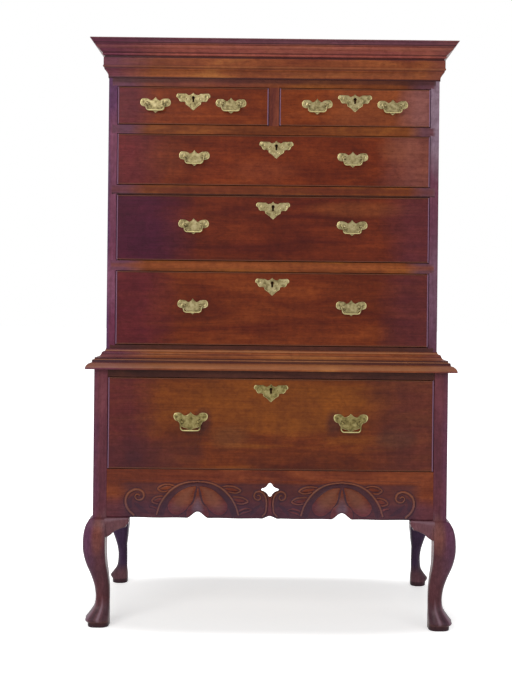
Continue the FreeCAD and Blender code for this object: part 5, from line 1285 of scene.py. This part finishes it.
def floor():
    """A broad pale floor that the camera and glossy things see as white, with the shadow kept.
    Its pool is grey up to where the root of (s x)^4 + (t y)^4 is the first value of POOL_EDGE,
    for the scales s and t, and white from the second: inside it the real shadow shows, outside
    it the glow whitens the shadow away, so the shadow's outline on the floor is painted."""
    mesh = bpy.data.meshes.new("floor")
    corners = [(x * FLOOR_HALF, y * FLOOR_HALF, 0)
               for x, y in ((-1, -1), (1, -1), (1, 1), (-1, 1))]
    mesh.from_pydata(corners, [], [(0, 1, 2, 3)])
    plane = bpy.data.objects.new("floor", mesh)
    bpy.context.scene.collection.objects.link(plane)
    made, tree, shader = blank_material("pale_floor")
    seen = node(tree, "ShaderNodeLightPath", -600, 300)
    flag = math_node(tree, -400, 300, "MAXIMUM", (seen, "Is Camera Ray"), (seen, "Is Glossy Ray"))
    shader.inputs["Base Color"].default_value = (0.80, 0.80, 0.80, 1.0)
    shader.inputs["Roughness"].default_value = 0.9
    shader.inputs["Specular IOR Level"].default_value = 0.0
    place = node(tree, "ShaderNodeTexCoord", -1000, -300)
    aim = node(tree, "ShaderNodeMapping", -900, -300, Vector=(place, "Object"), Scale=POOL_SCALE)
    square = math_node(tree, -850, -300, "MULTIPLY", (aim, 0), (aim, 0),
                       kind="ShaderNodeVectorMath")
    away = math_node(tree, -800, -300, "LENGTH", (square, 0), kind="ShaderNodeVectorMath")
    far = spread(tree, -600, -300, (away, "Value"), *POOL_EDGE, POOL_TONE, 1.0)
    far.interpolation_type = "SMOOTHSTEP"
    own = math_node(tree, -200, -200, "MULTIPLY", (flag, 0), (far, 0))
    shader.inputs["Emission Color"].default_value = (1.0, 1.0, 1.0, 1.0)
    tree.links.new(own.outputs[0], shader.inputs["Emission Strength"])
    mesh.materials.append(made)


def world():
    """White to the camera, to gloss and through glass; plain grey light for everything else."""
    made = bpy.data.worlds.new("plain_studio")
    bpy.context.scene.world = made
    made.use_nodes = True
    tree = made.node_tree
    tree.nodes.clear()
    seen = node(tree, "ShaderNodeLightPath", -600, 0)
    first = math_node(tree, -400, 0, "MAXIMUM", (seen, "Is Camera Ray"), (seen, "Is Glossy Ray"))
    either = math_node(tree, -200, 0, "MAXIMUM", (first, 0), (seen, "Is Transmission Ray"))
    light = node(tree, "ShaderNodeBackground", 0, 100, Color=(0.97, 0.98, 1.0, 1.0), Strength=0.45)
    white = node(tree, "ShaderNodeBackground", 0, -100, Color=(1.0, 1.0, 1.0, 1.0), Strength=1.0)
    blend = node(tree, "ShaderNodeMixShader", 200, 0, _0=(either, 0), _1=(light, 0), _2=(white, 0))
    out = node(tree, "ShaderNodeOutputWorld", 400, 0)
    tree.links.new(blend.outputs[0], out.inputs["Surface"])


def lamp(name, spot, target, size, power, colour=(1.0, 1.0, 1.0)):
    """A soft square lamp that faces a point."""
    data = bpy.data.lights.new(name, "AREA")
    data.shape = "SQUARE"
    data.size = size
    data.energy = power
    data.color = colour
    made = bpy.data.objects.new(name, data)
    bpy.context.scene.collection.objects.link(made)
    aim = np.array(target, float) - np.array(spot, float)
    aim /= np.linalg.norm(aim)
    pitch = math.acos(-aim[2])
    heading = math.atan2(aim[1], aim[0]) - math.pi / 2
    made.location = spot
    made.rotation_euler = (pitch, 0.0, heading)


def camera():
    """A level camera in front, with a small shift for the framing."""
    data = bpy.data.cameras.new("camera")
    data.sensor_width = 36.0
    data.lens = LENS
    data.shift_x, data.shift_y = SHIFT
    made = bpy.data.objects.new("camera", data)
    bpy.context.scene.collection.objects.link(made)
    made.location = EYE
    made.rotation_euler = (math.pi / 2, math.radians(ROLL), 0.0)
    bpy.context.scene.camera = made


legs_and_brackets()
apron()
moulding("waist_moulding", WAIST_PROFILE, BASE_TOP, 1.0)
moulding("cornice", CORNICE_PROFILE, CORNICE_LOW, 2.0)
for drawer in DRAWERS:
    drawer_brasses(drawer)
floor()
world()
lamp("key_light", spot=(-1.9, -3.4, 2.9), target=(0.0, -0.2, 1.0), size=2.4, power=80.0,
     colour=(1.0, 0.985, 0.96))
lamp("fill_light", spot=(2.6, -3.2, 1.7), target=(0.0, -0.2, 0.9), size=2.6, power=26.0)
lamp("back_light", spot=(0.0, 3.6, 3.0), target=(0.0, 0.2, 1.0), size=2.6, power=40.0)
camera()
bpy.context.scene.view_settings.view_transform = "Standard"
